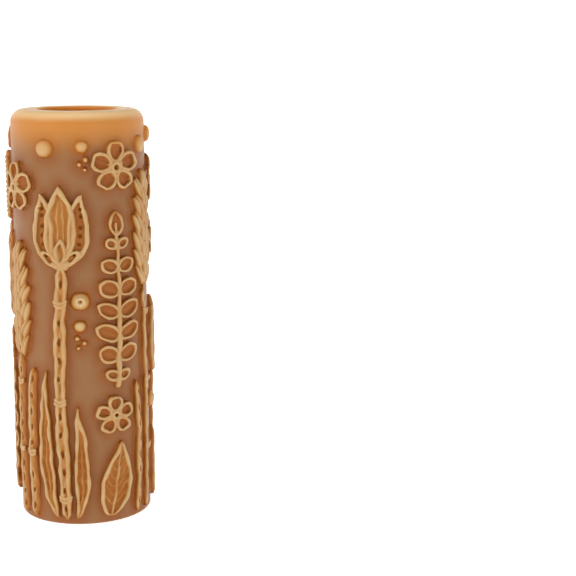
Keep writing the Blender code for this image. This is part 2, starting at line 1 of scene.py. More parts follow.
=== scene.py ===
"""The looks of a clay texture roller: satin caramel resin, carved all round with a meadow.

Every raised form is modelled flat, as the maker of its master would: plates, rolls and pellets are
laid on a bed, pressed into one soft-edged body, trimmed off the bed and bent round the tube. Flat
space has X across, Z up and the rise towards -Y. Turns, heights and outlines are read from the
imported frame, so each piece lies where its CAD node does.
"""

import json
import logging
import math
from dataclasses import dataclass
from enum import Enum
from typing import Sequence

import bpy
import numpy as np
from mathutils import Matrix, Vector, kdtree

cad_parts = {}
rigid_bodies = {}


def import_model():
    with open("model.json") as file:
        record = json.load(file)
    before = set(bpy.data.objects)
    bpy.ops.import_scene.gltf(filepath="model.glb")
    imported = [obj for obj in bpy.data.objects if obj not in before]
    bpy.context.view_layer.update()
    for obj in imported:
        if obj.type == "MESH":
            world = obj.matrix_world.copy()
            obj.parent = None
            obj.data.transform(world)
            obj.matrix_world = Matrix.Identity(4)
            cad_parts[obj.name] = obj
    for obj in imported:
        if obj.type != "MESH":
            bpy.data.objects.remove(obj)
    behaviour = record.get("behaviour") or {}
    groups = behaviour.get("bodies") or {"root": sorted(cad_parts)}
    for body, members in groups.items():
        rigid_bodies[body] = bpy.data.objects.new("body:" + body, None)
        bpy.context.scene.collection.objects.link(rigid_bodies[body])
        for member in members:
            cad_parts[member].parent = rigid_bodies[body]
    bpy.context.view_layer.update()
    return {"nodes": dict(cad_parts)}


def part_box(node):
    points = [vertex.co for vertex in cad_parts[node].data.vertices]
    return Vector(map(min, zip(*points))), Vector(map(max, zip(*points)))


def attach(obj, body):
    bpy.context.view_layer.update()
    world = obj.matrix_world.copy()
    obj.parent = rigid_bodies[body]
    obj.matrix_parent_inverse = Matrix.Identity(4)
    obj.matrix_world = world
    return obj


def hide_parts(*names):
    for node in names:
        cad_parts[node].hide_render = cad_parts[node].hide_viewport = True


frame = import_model()

MM = 0.001
FULL_TURN = 2.0 * math.pi
WHITE = (1.0, 1.0, 1.0, 1.0)
TUBE_NODE = "roller_tube"
TUBE_LOW, TUBE_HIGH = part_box(TUBE_NODE)
TUBE_RADIUS = (TUBE_HIGH.x - TUBE_LOW.x) / 2
TUBE_LENGTH = TUBE_HIGH.z - TUBE_LOW.z

Object = bpy.types.Object
Tree = bpy.types.NodeTree
Socket = bpy.types.NodeSocket
Line = Sequence[Sequence[float]]
Pair = tuple[float, float]
Triple = tuple[float, float, float]
Pieces = list[tuple[Object, str]]
log = logging.getLogger("roller")


class Slot(Enum):
    """The record's two finishes."""

    TUBE = "tube_resin"
    RELIEF = "relief_resin"


class Refine(Enum):
    """The modifiers that the bench uses."""

    REMESH = "REMESH"
    SMOOTH = "SMOOTH"
    BEND = "SIMPLE_DEFORM"
    PUSH = "DISPLACE"


class Veins(Enum):
    """How the panel of a leaf or petal is marked."""

    MIDRIB = "one rib down the middle"
    RIBS = "ribs that fan out from the base"


def smooth_line(points: Line, steps: int = 6, closed: bool = False) -> np.ndarray:
    """Draws a smooth line through a few points.

    Args:
        points: the points, of any dimension.
        steps: how many stretches lie between two points.
        closed: whether the line comes back to its start.

    Returns:
        The line's points, ends included.
    """
    p = np.asarray(points, float)
    ends = (p[-1:], p[:2]) if closed else (2 * p[:1] - p[1:2], 2 * p[-1:] - p[-2:-1])
    q = np.vstack([ends[0], p, ends[1]])
    line = []
    for before, start, end, after in zip(q, q[1:], q[2:], q[3:]):
        for t in np.arange(steps) / steps:
            bend = (2 * before - 5 * start + 4 * end - after) * t**2
            twist = (3 * start - 3 * end + after - before) * t**3
            line.append(0.5 * (2 * start + (end - before) * t + bend + twist))
    if not closed:
        line.append(p[-1])
    return np.array(line)


def circle(radius: float, steps: int) -> np.ndarray:
    """The (across, up) points of a circle round the origin."""
    angles = np.arange(steps) / steps * FULL_TURN
    return np.column_stack([np.sin(angles), np.cos(angles)]) * radius


class Bench:
    """The steps that every piece goes through at the bench."""

    @staticmethod
    def open(obj: Object | None = None) -> None:
        """Goes into edit mode with all of the mesh selected.

        Args:
            obj: what is edited, where it isn't the active object already.
        """
        if obj:
            Bench.pick(obj)
        bpy.ops.object.mode_set(mode="EDIT")
        bpy.ops.mesh.select_all(action="SELECT")

    @staticmethod
    def close() -> None:
        """Goes back to object mode."""
        bpy.ops.object.mode_set(mode="OBJECT")

    @staticmethod
    def pick(*objects: Object) -> Object:
        """Selects these objects alone and makes the first one active.

        Args:
            objects: what is selected.

        Returns:
            The first one.
        """
        bpy.ops.object.select_all(action="DESELECT")
        for obj in objects:
            obj.select_set(True)
        bpy.context.view_layer.objects.active = objects[0]
        return objects[0]

    @staticmethod
    def refine(obj: Object, kind: Refine, **settings: object) -> None:
        """Adds one modifier and applies it.

        Args:
            obj: what is refined.
            kind: which modifier.
            settings: the modifier's settings by name.
        """
        Bench.pick(obj)
        bpy.ops.object.modifier_add(type=kind.value)
        modifier = obj.modifiers[-1]
        for key, value in settings.items():
            setattr(modifier, key, value)
        bpy.ops.object.modifier_apply(modifier=modifier.name)

    @staticmethod
    def join(name: str, pieces: Sequence[Object]) -> Object:
        """Joins the pieces into one object.

        Args:
            name: its name.
            pieces: what is joined.

        Returns:
            The joined object.
        """
        obj = Bench.pick(*pieces)
        bpy.ops.object.join()
        obj.name = obj.data.name = name
        return obj

    @staticmethod
    def settle(*objects: Object) -> None:
        """Leaves each object's place in its mesh, with its origin at the world's."""
        Bench.pick(*objects)
        bpy.ops.object.transform_apply(location=True, rotation=True, scale=True)

    @staticmethod
    def smooth_faces(obj: Object, degrees: float = 40.0) -> None:
        """Shades the object smooth except over sharp edges."""
        Bench.pick(obj)
        bpy.ops.object.shade_smooth_by_angle(angle=math.radians(degrees))

    @staticmethod
    def duplicate(obj: Object, name: str) -> Object:
        """Copies an object and its mesh.

        Args:
            obj: what is copied.
            name: the copy's name.

        Returns:
            The copy.
        """
        copy = obj.copy()
        copy.data = obj.data.copy()
        copy.name = copy.data.name = name
        bpy.context.scene.collection.objects.link(copy)
        return copy


# Points closer in height than this share a level of their CAD node
LEVEL_STEP = 0.02 * MM


@dataclass(frozen=True)
class Strand:
    """A long CAD node, read from the frame.

    turn is how far round its foot stands, in radians from the front, and foot is its lowest height.
    ups, middles and halves give each level's height above the foot, how far its middle lies across
    from the foot, and half its width.
    """

    turn: float
    foot: float
    ups: np.ndarray
    middles: np.ndarray
    halves: np.ndarray

    @staticmethod
    def read(node: str) -> "Strand":
        """Reads a node's levels, which are the heights that its points share.

        Args:
            node: the CAD node's name.

        Returns:
            The strand.
        """
        points = node_points(node)
        points = points[np.argsort(points[:, 2])]
        levels = np.split(points, np.nonzero(np.diff(points[:, 2]) > LEVEL_STEP)[0] + 1)
        turn = mean_turn(levels[0])
        rows = []
        for level in levels:
            across = across_of(level, turn)
            rows.append((level[0, 2], (across.max() + across.min()) / 2, (across.max() - across.min()) / 2))
        ups, middles, halves = np.array(rows).T
        return Strand(turn, ups[0], ups - ups[0], middles, halves)

    @property
    def length(self) -> float:
        """How tall the strand is."""
        return float(self.ups[-1])

    def middle(self, up: float) -> float:
        """How far across its middle lies at that height above its foot."""
        return float(np.interp(up, self.ups, self.middles))

    def half(self, up: float) -> float:
        """Half its width at that height above its foot."""
        return float(np.interp(up, self.ups, self.halves))


@dataclass(frozen=True)
class Rosette:
    """A round or cup-shaped CAD node, read from the frame: its turn, foot, width and height."""

    turn: float
    foot: float
    width: float
    height: float

    @staticmethod
    def read(node: str) -> "Rosette":
        """Reads a node's extent round the tube and up it.

        Args:
            node: the CAD node's name.

        Returns:
            The rosette.
        """
        points = node_points(node)
        turn = mean_turn(points)
        across = across_of(points, turn)
        low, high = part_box(node)
        turn += (across.max() + across.min()) / 2 / TUBE_RADIUS
        return Rosette(turn, low.z, across.max() - across.min(), high.z - low.z)


def node_points(node: str) -> np.ndarray:
    """Reads the points of a CAD node's mesh.

    Args:
        node: the CAD node's name.

    Returns:
        Its points, in metres.
    """
    mesh = frame["nodes"][node].data
    points = np.zeros(len(mesh.vertices) * 3)
    mesh.vertices.foreach_get("co", points)
    return points.reshape(-1, 3)


def mean_turn(points: np.ndarray) -> float:
    """How far round the tube the points lie on the whole, in radians from the front."""
    return float(np.angle(np.mean(-points[:, 1] + 1j * points[:, 0])))


def across_of(points: np.ndarray, turn: float) -> np.ndarray:
    """How far each point lies across from that turn, along the tube's skin."""
    return np.angle((-points[:, 1] + 1j * points[:, 0]) * np.exp(-1j * turn)) * TUBE_RADIUS


class Bed:
    """A flat bed on which one raised form is laid up and pressed into a single body."""

    # The slab: how far a plate reaches into it, its thickness and its margin round what is laid
    EMBED = 0.4 * MM
    DEPTH = 0.8 * MM
    MARGIN = 1.2 * MM
    # The pressing: its grain, how strong a round of smoothing is, the cut's height over the bed, how
    # far the foot sinks after it, and how close points at the cut have to be to become one
    GRAIN = 0.15 * MM
    SMOOTHING = 0.5
    TRIM = 0.06 * MM
    SINK = 0.08 * MM
    CUT_MERGE = 0.001 * MM
    # The least half width of a strip and radius of a roll, and a pellet's segments and rings
    THINNEST_STRIP = 0.1 * MM
    THINNEST_ROLL = 0.02 * MM
    PELLET_MESH = (14, 10)
    # Each step of a roll's rounded end: how far on it lies and how thick it is, as shares of the radius
    ROLL_END = ((0.55, 0.8), (0.9, 0.35))
    # How uneven a roll is, over what length, and how far the next roll's waves are shifted
    UNEVEN_SHARE = 0.13
    UNEVEN_LENGTH = 5.2 * MM
    UNEVEN_SHIFT = 1.7
    # The foot, where a form melts into the tube: how high it reaches, its blend and its smoothing
    FOOT_TOP = 1.15 * MM
    FOOT_BLEND = 0.6
    FOOT_ROUNDS = 45
    # The ends of a form, which come down a little
    END_REACH_SHARE = 0.12
    END_REACH = 2.6 * MM
    END_DROP = 0.60 * MM
    # Pits: what counts as raised, a pit's fall and squareness, and the skin that isn't pushed
    RAISED = 0.3 * MM
    PIT_FALL = 1.2
    PIT_POWER = 1.5
    SKIN = 0.1 * MM
    SKIN_BLEND = 0.4 * MM
    # The unsteady hand: the size of its waves, their strength, the height of a form that gets all of
    # it, the noise along each axis, and how many places in the noise there are for forms to lie at
    HAND_SCALE = 4.8 * MM
    HAND_STRENGTH = 0.9 * MM
    HAND_LENGTH = 20.0 * MM
    HAND_NOISES = (("X", "BLENDER_ORIGINAL"), ("Z", "IMPROVED_PERLIN"))
    HAND_PLACES = 89

    def __init__(self, name: str) -> None:
        """Clears a bed.

        Args:
            name: the name of the form that it is for.
        """
        self.name = name
        self.laid: list[Object] = []
        self.rolls: list[tuple[np.ndarray, np.ndarray, bool]] = []
        self.pricks: list[tuple[float, float, float, float, float]] = []

    def plate(self, outline: Line, rise: float) -> None:
        """Lays a flat plate.

        Args:
            outline: its closed edge, as (across, up) points.
            rise: how high its face stands over the bed.
        """
        bpy.ops.mesh.primitive_circle_add(vertices=len(outline), radius=MM, fill_type="NGON")
        obj = bpy.context.object
        for vertex, (across, up) in zip(obj.data.vertices, outline):
            vertex.co = (across, self.EMBED, up)
        Bench.open()
        lift = (0.0, -(rise + self.EMBED), 0.0)
        bpy.ops.mesh.extrude_region_move(TRANSFORM_OT_translate={"value": lift})
        bpy.ops.mesh.select_all(action="SELECT")
        bpy.ops.mesh.normals_make_consistent(inside=False)
        Bench.close()
        self.laid.append(obj)

    def strip(self, middles: np.ndarray, halves: np.ndarray, ups: np.ndarray, rise: float) -> None:
        """Lays a long flat strip.

        Args:
            middles: how far across its middle lies at each height.
            halves: half its width there.
            ups: the heights.
            rise: how high its face stands over the bed.
        """
        halves = np.maximum(halves, self.THINNEST_STRIP)
        right = np.column_stack([middles + halves, ups])
        left = np.column_stack([middles - halves, ups])
        self.plate(np.vstack([right, left[::-1]]), rise)

    def roll(
        self, path: Line, radii: float | Sequence[float], rise: float | None = None, closed: bool = False
    ) -> None:
        """Lays a roll of clay.

        Args:
            path: (across, up) points at one rise, or (across, rise, up) points where rise is None.
            radii: one radius, or one for each point.
            rise: how high its middle runs over the bed.
            closed: whether it is a ring.
        """
        line = np.asarray(path, float)
        if rise is not None:
            line = np.column_stack([line[:, 0], np.full(len(line), rise), line[:, 1]])
        radii = np.asarray(radii, float) * self._uneven(line)
        if not closed:
            for _ in range(2):
                out = line[-1] - line[-2]
                out *= radii[-1] / np.linalg.norm(out)
                line = np.vstack([line, *(line[-1] + share * out for share, _ in self.ROLL_END)])[::-1]
                radii = np.append(radii, [share * radii[-1] for _, share in self.ROLL_END])[::-1]
        self.rolls.append((line, radii, closed))

    def _uneven(self, line: np.ndarray) -> np.ndarray:
        """How much thicker or thinner a roll is along its way, as hand-rolled clay is.

        Args:
            line: the roll's points.

        Returns:
            A factor for each point.
        """
        along = np.append(0.0, np.cumsum(np.linalg.norm(np.diff(line, axis=0), axis=1)))
        total = along[-1] + along[1]
        waves = max(1, round(total / self.UNEVEN_LENGTH))
        shift = self.UNEVEN_SHIFT * len(self.rolls)
        return 1.0 + self.UNEVEN_SHARE * np.sin(FULL_TURN * waves * along / total + shift)

    def pellet(self, centre: Sequence[float], halves: Sequence[float], lean: float = 0.0) -> None:
        """Lays an egg-shaped pellet.

        Args:
            centre: its (across, rise, up).
            halves: half its width, depth and length.
            lean: how far its top leans to the right, in radians.
        """
        if not self.laid or "pellet" not in self.laid[-1].name:
            segments, rings = self.PELLET_MESH
            bpy.ops.mesh.primitive_uv_sphere_add(segments=segments, ring_count=rings, radius=1.0)
            obj = bpy.context.object
            obj.name = "pellet"
        else:
            obj = Bench.duplicate(self.laid[-1], "pellet")
        across, rise, up = centre
        turn = Matrix.Rotation(lean, 4, "Y")
        obj.matrix_world = Matrix.Translation((across, -rise, up)) @ turn @ Matrix.Diagonal((*halves, 1.0))
        self.laid.append(obj)

    def prick(self, across: float, up: float, half_width: float, half_length: float, depth: float) -> None:
        """Notes a pit to be pricked into the finished form, with its middle, its size and its depth."""
        self.pricks.append((across, up, half_width, half_length, depth))

    def _unsettle(self, form: Object) -> None:
        """Shifts the form's points a little this way and that, as work by hand comes out.

        Args:
            form: the flat form on its slab.
        """
        away = sum(self.name.encode()) % self.HAND_PLACES * MM
        strength = self.HAND_STRENGTH * min(1.0, form.dimensions.z / self.HAND_LENGTH)
        form.location.x = away
        Bench.settle(form)
        for axis, basis in self.HAND_NOISES:
            clouds = bpy.data.textures.get(basis) or bpy.data.textures.new(basis, "CLOUDS")
            clouds.noise_basis = basis
            clouds.noise_scale = self.HAND_SCALE
            clouds.noise_depth = 1
            Bench.refine(form, Refine.PUSH, direction=axis, strength=strength, texture=clouds)
        form.location.x = -away
        Bench.settle(form)

    def _press_pricks(self, form: Object) -> None:
        """Pushes the noted pits into the form's upper side, and its two ends down a little.

        Args:
            form: the flat form on its slab.
        """
        points = mesh_points(form)
        raised = points[points[:, 1] < -self.RAISED, 2]
        inset = np.minimum(points[:, 2] - raised.min(), raised.max() - points[:, 2])
        reach = min(self.END_REACH, self.END_REACH_SHARE * (raised.max() - raised.min()))
        depths = self.END_DROP * (1.0 - np.clip(inset / reach, 0.0, 1.0)) ** 2
        for across, up, half_width, half_length, depth in self.pricks:
            off = ((points[:, 0] - across) / half_width) ** 2 + ((points[:, 2] - up) / half_length) ** 2
            depths = np.maximum(depths, depth * np.exp(-self.PIT_FALL * off**self.PIT_POWER))
        depths *= np.clip((-points[:, 1] - self.SKIN) / self.SKIN_BLEND, 0.0, 1.0)
        deepest = float(depths.max())
        group = weigh(form, "pricks", depths / deepest)
        Bench.refine(form, Refine.PUSH, direction="Y", strength=deepest, mid_level=0.0, vertex_group=group)

    def _bake_rolls(self) -> None:
        """Turns the laid rolls into one mesh."""
        curve = bpy.data.curves.new(f"{self.name}_rolls", "CURVE")
        curve.dimensions = "3D"
        curve.bevel_depth = MM
        curve.bevel_resolution = 2
        curve.use_fill_caps = True
        for path, radii, closed in self.rolls:
            spline = curve.splines.new("POLY")
            spline.points.add(len(path) - 1)
            for point, (across, rise, up), radius in zip(spline.points, path, radii):
                point.co = (across, -rise, up, 1.0)
                point.radius = max(radius, self.THINNEST_ROLL) / MM
            spline.use_cyclic_u = closed
        obj = bpy.data.objects.new(curve.name, curve)
        bpy.context.scene.collection.objects.link(obj)
        Bench.pick(obj)
        bpy.ops.object.convert(target="MESH")
        self.laid.append(bpy.context.object)

    def _add_slab(self) -> None:
        """Puts the bed's own slab under what is laid."""
        corners = np.array([obj.matrix_world @ Vector(c) for obj in self.laid for c in obj.bound_box])
        low, high = corners.min(axis=0) - self.MARGIN, corners.max(axis=0) + self.MARGIN
        bpy.ops.mesh.primitive_cube_add(size=1.0)
        slab = bpy.context.object
        slab.scale = (high[0] - low[0], self.DEPTH, high[2] - low[2])
        slab.location = ((low[0] + high[0]) / 2, self.DEPTH / 2, (low[2] + high[2]) / 2)
        self.laid.append(slab)

    def press(self, softness: int = 4) -> Object:
        """Presses what is laid into one body, softens its edges and trims it off the bed.

        Args:
            softness: how many rounds of smoothing it gets.

        Returns:
            The flat form, closed underneath, its base just below the bed's face.
        """
        if self.rolls:
            self._bake_rolls()
        bpy.context.view_layer.update()
        self._add_slab()
        Bench.settle(*self.laid)
        form = Bench.join(self.name, self.laid)
        Bench.refine(form, Refine.REMESH, mode="VOXEL", voxel_size=self.GRAIN, use_smooth_shade=True)
        self._clear_pockets(form)
        Bench.refine(form, Refine.SMOOTH, factor=self.SMOOTHING, iterations=softness)
        rise = -mesh_points(form)[:, 1]
        melted = np.clip((self.FOOT_TOP - rise) / (self.FOOT_BLEND * self.FOOT_TOP), 0.0, 1.0)
        foot = weigh(form, "foot", melted)
        rounds = {"factor": self.SMOOTHING, "iterations": self.FOOT_ROUNDS}
        Bench.refine(form, Refine.SMOOTH, vertex_group=foot, **rounds)
        self._press_pricks(form)
        self._unsettle(form)
        self._trim(form)
        return form

    @staticmethod
    def _clear_pockets(form: Object) -> None:
        """Deletes the closed pockets inside the form, so that its skin is one shell.

        Args:
            form: the flat form on its slab.
        """
        Bench.open()
        bpy.ops.mesh.select_mode(type="VERT")
        bpy.ops.mesh.select_all(action="DESELECT")
        Bench.close()
        form.data.vertices[int(np.argmax(mesh_points(form)[:, 1]))].select = True
        bpy.ops.object.mode_set(mode="EDIT")
        bpy.ops.mesh.select_linked()
        bpy.ops.mesh.select_all(action="INVERT")
        bpy.ops.mesh.delete(type="VERT")
        Bench.close()

    def _trim(self, form: Object) -> None:
        """Cuts the form off the bed, closes it underneath and sinks its foot.

        Args:
            form: the flat form on its slab.
        """
        Bench.open()
        cut = {"plane_co": (0, -self.TRIM, 0), "plane_no": (0, 1, 0)}
        bpy.ops.mesh.bisect(clear_outer=True, threshold=self.CUT_MERGE, **cut)
        bpy.ops.mesh.select_all(action="DESELECT")
        bpy.ops.mesh.select_non_manifold(extend=False, use_wire=False, use_multi_face=False, use_verts=False)
        bpy.ops.mesh.fill_holes(sides=0)
        Bench.close()
        form.location.y = self.SINK
        Bench.settle(form)


def wrap(form: Object, proud: float = 0.0) -> Object:
    """Bends a flat form round the tube at the front, and paints highlight on its crests and shade in its
    hollows.

    Args:
        form: the flat form, with its foot at the origin.
        proud: how much more painted highlight the whole of it gets.

    Returns:
        The same object, bent.
    """
    points = mesh_points(form)
    extent = float(points[:, 0].max() - points[:, 0].min())
    Bench.refine(form, Refine.BEND, deform_method="BEND", deform_axis="Z", angle=extent / TUBE_RADIUS)
    form.location.y = -TUBE_RADIUS
    Bench.settle(form)
    paint_highlight_and_shade(form, proud)
    Bench.smooth_faces(form)
    return form


def stand(form: Object, turn: float, foot: float) -> Object:
    """Sets a bent form in its place on the tube.

    Args:
        form: the bent form.
        turn: how far round it stands, in radians from the front.
        foot: its foot's height.

    Returns:
        The same object.
    """
    form.rotation_euler.z = turn
    form.location.z = foot
    Bench.settle(form)
    return form


def stand_copy(pattern: Object, node: str, turn: float, foot: float) -> tuple[Object, str]:
    """A copy of a bent pattern in its place, with the node that it stands for."""
    return stand(Bench.duplicate(pattern, f"{node}_carved"), turn, foot), node


def mesh_points(obj: Object) -> np.ndarray:
    """Reads the points of an object's mesh.

    Args:
        obj: the object.

    Returns:
        Its points.
    """
    points = np.zeros(len(obj.data.vertices) * 3, np.float32)
    obj.data.vertices.foreach_get("co", points)
    return points.reshape(-1, 3).astype(float)


# What the crest attribute, the mask for painted highlight and shade, holds on even skin
EVEN_SKIN = 0.5
# The scales at which an edge gets painted highlight or a hollow painted shade: rounds of blurring, the height
# that counts fully and the most that it adds
PAINTED_LIGHT_SCALES = ((7, 0.12 * MM, 0.36), (40, 0.50 * MM, 0.50))


def paint_highlight_and_shade(form: Object, proud: float) -> None:
    """Writes the crest attribute, which paints light and shade: 1 (painted highlight) on edges that stand
    proud, 0.5 on even skin and 0 (painted shade) in hollows.

    Args:
        form: the bent form.
        proud: what is added all over, so that the whole form gets more painted highlight.
    """
    mesh = form.data
    points = mesh_points(form)
    height = np.maximum(np.hypot(points[:, 0], points[:, 1]) - TUBE_RADIUS, 0.0)
    edges = np.zeros(len(mesh.edges) * 2, np.int32)
    mesh.edges.foreach_get("vertices", edges)
    one, two = edges.reshape(-1, 2).T
    count = len(points)
    degree = np.maximum(np.bincount(one, minlength=count) + np.bincount(two, minlength=count), 1)
    blurred = height.copy()
    crest = np.full(count, EVEN_SKIN + proud)
    done = 0
    for rounds, full_height, weight in PAINTED_LIGHT_SCALES:
        for _ in range(done, rounds):
            around = np.bincount(one, blurred[two], count) + np.bincount(two, blurred[one], count)
            blurred = 0.5 * blurred + 0.5 * around / degree
        done = rounds
        crest += weight * np.clip((height - blurred) / (2 * full_height), -0.5, 0.5)
    write_share(form, "crest", np.clip(crest, 0.0, 1.0))


def weigh(obj: Object, name: str, weights: np.ndarray, levels: int = 16) -> str:
    """Gives the object's points a weight from 0 to 1 each, in a vertex group.

    Args:
        obj: the object.
        name: the group's name.
        weights: one weight for each point.
        levels: how many steps the weights are rounded to.

    Returns:
        The group's name.
    """
    group = obj.vertex_groups.new(name=name)
    steps = np.rint(weights * levels).astype(int)
    for step in range(1, levels + 1):
        group.add(np.nonzero(steps == step)[0].tolist(), step / levels, "REPLACE")
    return group.name


def write_share(obj: Object, name: str, values: np.ndarray) -> None:
    """Writes one number for each point of the mesh, as a named attribute."""
    attribute = obj.data.attributes.new(name, "FLOAT", "POINT")
    attribute.data.foreach_set("value", values.astype(np.float32))


@dataclass(frozen=True)
class Petal:
    """A leaf or petal: a raised rim round a hollowed panel.

    half_shares is half its outline from base to tip, as shares of its width and length. The rises
    are those of the panel's face and of the rim's middle. Each span says where its ribs start and
    end, as shares of the length.
    """

    half_shares: tuple[Pair, ...]
    panel_rise: float
    rim_rise: float
    rim_radius: float
    rib_radius: float
    veins: Veins
    ribs: int = 1
    rib_steps: int = 12
    rib_taper: float = 0.45
    midrib_span: Pair = (0.06, 0.90)
    fan_span: Pair = (0.06, 0.84)

    def lay(self, bed: Bed, base: Sequence[float], width: float, length: float, lean: float = 0.0) -> None:
        """Lays the petal on a bed.

        Args:
            bed: where it goes.
            base: the (across, up) of its base.
            width: its full width.
            length: its length from base to tip.
            lean: how far its tip leans to the right, in radians.
        """
        half = smooth_line(self.half_shares) * (width, length)
        outline = np.vstack([half, half[-2:0:-1] * (-1.0, 1.0)])
        bed.plate(self._set(outline, base, lean), self.panel_rise)
        inner = np.maximum(half[:, 0] - self.rim_radius, 0.0)
        up = np.clip(half[:, 1], self.rim_radius, length - self.rim_radius)
        rim = np.column_stack([inner, up])
        rim = np.vstack([rim, rim[-2:0:-1] * (-1.0, 1.0)])
        bed.roll(self._set(rim, base, lean), self.rim_radius, self.rim_rise, closed=True)
        for path in self._rib_lines(half, length):
            taper = np.linspace(1.0, self.rib_taper, len(path))
            bed.roll(self._set(path, base, lean), self.rib_radius * taper, self.panel_rise)

    def _rib_lines(self, half: np.ndarray, length: float) -> list[np.ndarray]:
        """Draws the ribs in the petal's own space.

        Args:
            half: half the petal's outline.
            length: its length.

        Returns:
            Each rib's line.
        """
        if self.veins is Veins.MIDRIB:
            ups = np.linspace(*self.midrib_span, self.rib_steps) * length
            return [np.column_stack([np.zeros_like(ups), ups])]
        shares = np.linspace(-1.0, 1.0, self.ribs + 2)[1:-1]
        ups = np.linspace(*self.fan_span, self.rib_steps) * length
        spread = np.interp(ups, half[:, 1], half[:, 0])
        return [np.column_stack([spread * share, ups]) for share in shares]

    @staticmethod
    def _set(path: np.ndarray, base: Sequence[float], lean: float) -> np.ndarray:
        """Leans a path and moves it to the petal's base."""
        c, s = math.cos(lean), math.sin(lean)
        return path @ np.array([[c, -s], [s, c]]) + np.asarray(base)


@dataclass(frozen=True)
class CarvedStem:
    """A rounded stem with long pits pricked along it and a few joints.

    A furrowed stem has a groove down its middle, between two rounded edges. Any other stem is laid
    up from rolls: how far across each lies and its radius, as shares of half the width, and how far
    it lies below the crest. A joint is two thin rings, which bow a little over the stem.
    """

    crest_rise: float = 1.52 * MM
    furrowed: bool = False
    edge_share: float = 0.42
    core_share: float = 0.72
    furrow_depth: float = 0.34 * MM
    rolls: tuple[Triple, ...] = ((-0.52, 0.46, 0.0), (-0.05, 0.80, 0.24 * MM), (0.30, 0.70, 0.48 * MM))
    thinnest_share: float = 0.3
    base_rise: float = 0.72 * MM
    end_length: float = 1.2 * MM
    pitch: float = 0.5 * MM
    fewest_steps: int = 6
    flare: float = 0.0
    flare_length: float = 5.0 * MM
    reach: float = 1.2 * MM
    joint_pitch: float = 24.0 * MM
    joint_radius: float = 0.46 * MM
    joint_span: Pair = (0.2, 0.35)
    joint_gap_share: float = 0.9
    joint_rise_share: float = 0.72
    joint_bow: tuple[Pair, ...] = ((-0.9, 0.2), (0.0, -0.1), (0.9, 0.2))
    pit_pitch: float = 4.6 * MM
    pit_half_width: float = 0.34 * MM
    pit_half_length: float = 0.90 * MM
    pit_depth: float = 0.60 * MM
    pit_shift_share: float = 0.12
    pit_start_share: float = 0.6
    pit_end: float = 1.5 * MM
    pit_clearance: float = 1.6 * MM
    short_pit: float = 0.75
    short_every: int = 3

    def build(self, node: str) -> Object:
        """Builds the stem of that CAD node.

        Args:
            node: the node that it stands for.

        Returns:
            The finished piece.
        """
        strand = Strand.read(node)
        bed = Bed(f"{node}_carved")
        ups = np.linspace(0.0, strand.length, max(self.fewest_steps, round(strand.length / self.pitch)))
        middles = np.interp(ups, strand.ups, strand.middles)
        halves = np.interp(ups, strand.ups, strand.halves)
        halves = np.maximum(halves, self.thinnest_share * strand.halves.max())
        near_top = np.clip(1.0 - (strand.length - ups) / self.flare_length, 0.0, 1.0)
        halves = halves + self.flare * near_top**2
        ups[-1] += self.reach
        inset = np.minimum(ups, ups[-1] - ups) / self.end_length
        rounding = np.sqrt(np.clip(inset * (2.0 - inset), 0.0, 1.0) * (inset < 1.0) + (inset >= 1.0))
        bed.strip(middles, halves * rounding, ups, self.base_rise)
        if self.furrowed:
            edges = halves * self.edge_share
            for side in (-1, 1):
                path = np.column_stack([middles + side * (halves - edges), self.crest_rise - edges, ups])
                bed.roll(path, edges)
            core = halves * self.core_share
            bed.roll(np.column_stack([middles, self.crest_rise - self.furrow_depth - core, ups]), core)
        else:
            for across_share, radius_share, drop in self.rolls:
                radii = halves * radius_share
                path = [middles + across_share * halves, self.crest_rise - drop - radii, ups]
                bed.roll(np.column_stack(path), radii)
        self._add_joints(bed, strand)
        self._add_pits(bed, strand)
        form = wrap(bed.press(softness=6))
        return stand(form, strand.turn, strand.foot)

    def _joint_ups(self, strand: Strand) -> np.ndarray:
        """The heights of the joints, counted from the top down."""
        lowest, highest = (share * self.joint_pitch for share in self.joint_span)
        return np.arange(strand.length - highest, lowest, -self.joint_pitch)

    def _add_joints(self, bed: Bed, strand: Strand) -> None:
        """Lays two thin rings over the stem at each joint.

        Args:
            bed: where they go.
            strand: the stem's node.
        """
        for up in self._joint_ups(strand):
            for lift in (-self.joint_gap_share, self.joint_gap_share):
                bow = smooth_line(np.array(self.joint_bow) * strand.half(up), steps=4)
                line = bow + (strand.middle(up), up + lift * self.joint_radius)
                bed.roll(line, self.joint_radius, self.crest_rise - self.joint_rise_share * self.joint_radius)

    def _add_pits(self, bed: Bed, strand: Strand) -> None:
        """Pricks long pits down the stem, clear of its joints.

        Args:
            bed: where the stem lies.
            strand: the stem's node.
        """
        joints = self._joint_ups(strand)
        ups = np.arange(self.pit_start_share * self.pit_pitch, strand.length - self.pit_end, self.pit_pitch)
        for number, up in enumerate(ups):
            if len(joints) and np.abs(joints - up).min() < self.pit_clearance:
                continue
            size = self.short_pit if number % self.short_every == 1 else 1.0
            across = strand.middle(up) - self.pit_shift_share * strand.half(up)
            bed.prick(across, up, self.pit_half_width, self.pit_half_length * size, self.pit_depth)


TULIP_STEM = CarvedStem(furrowed=True, flare=0.5 * MM)
STALK = CarvedStem(crest_rise=1.42 * MM, joint_pitch=17.0 * MM, joint_radius=0.36 * MM, pit_pitch=3.4 * MM)
GRASS = CarvedStem(crest_rise=1.46 * MM, joint_pitch=60.0 * MM, reach=0.0, pit_pitch=4.0 * MM)


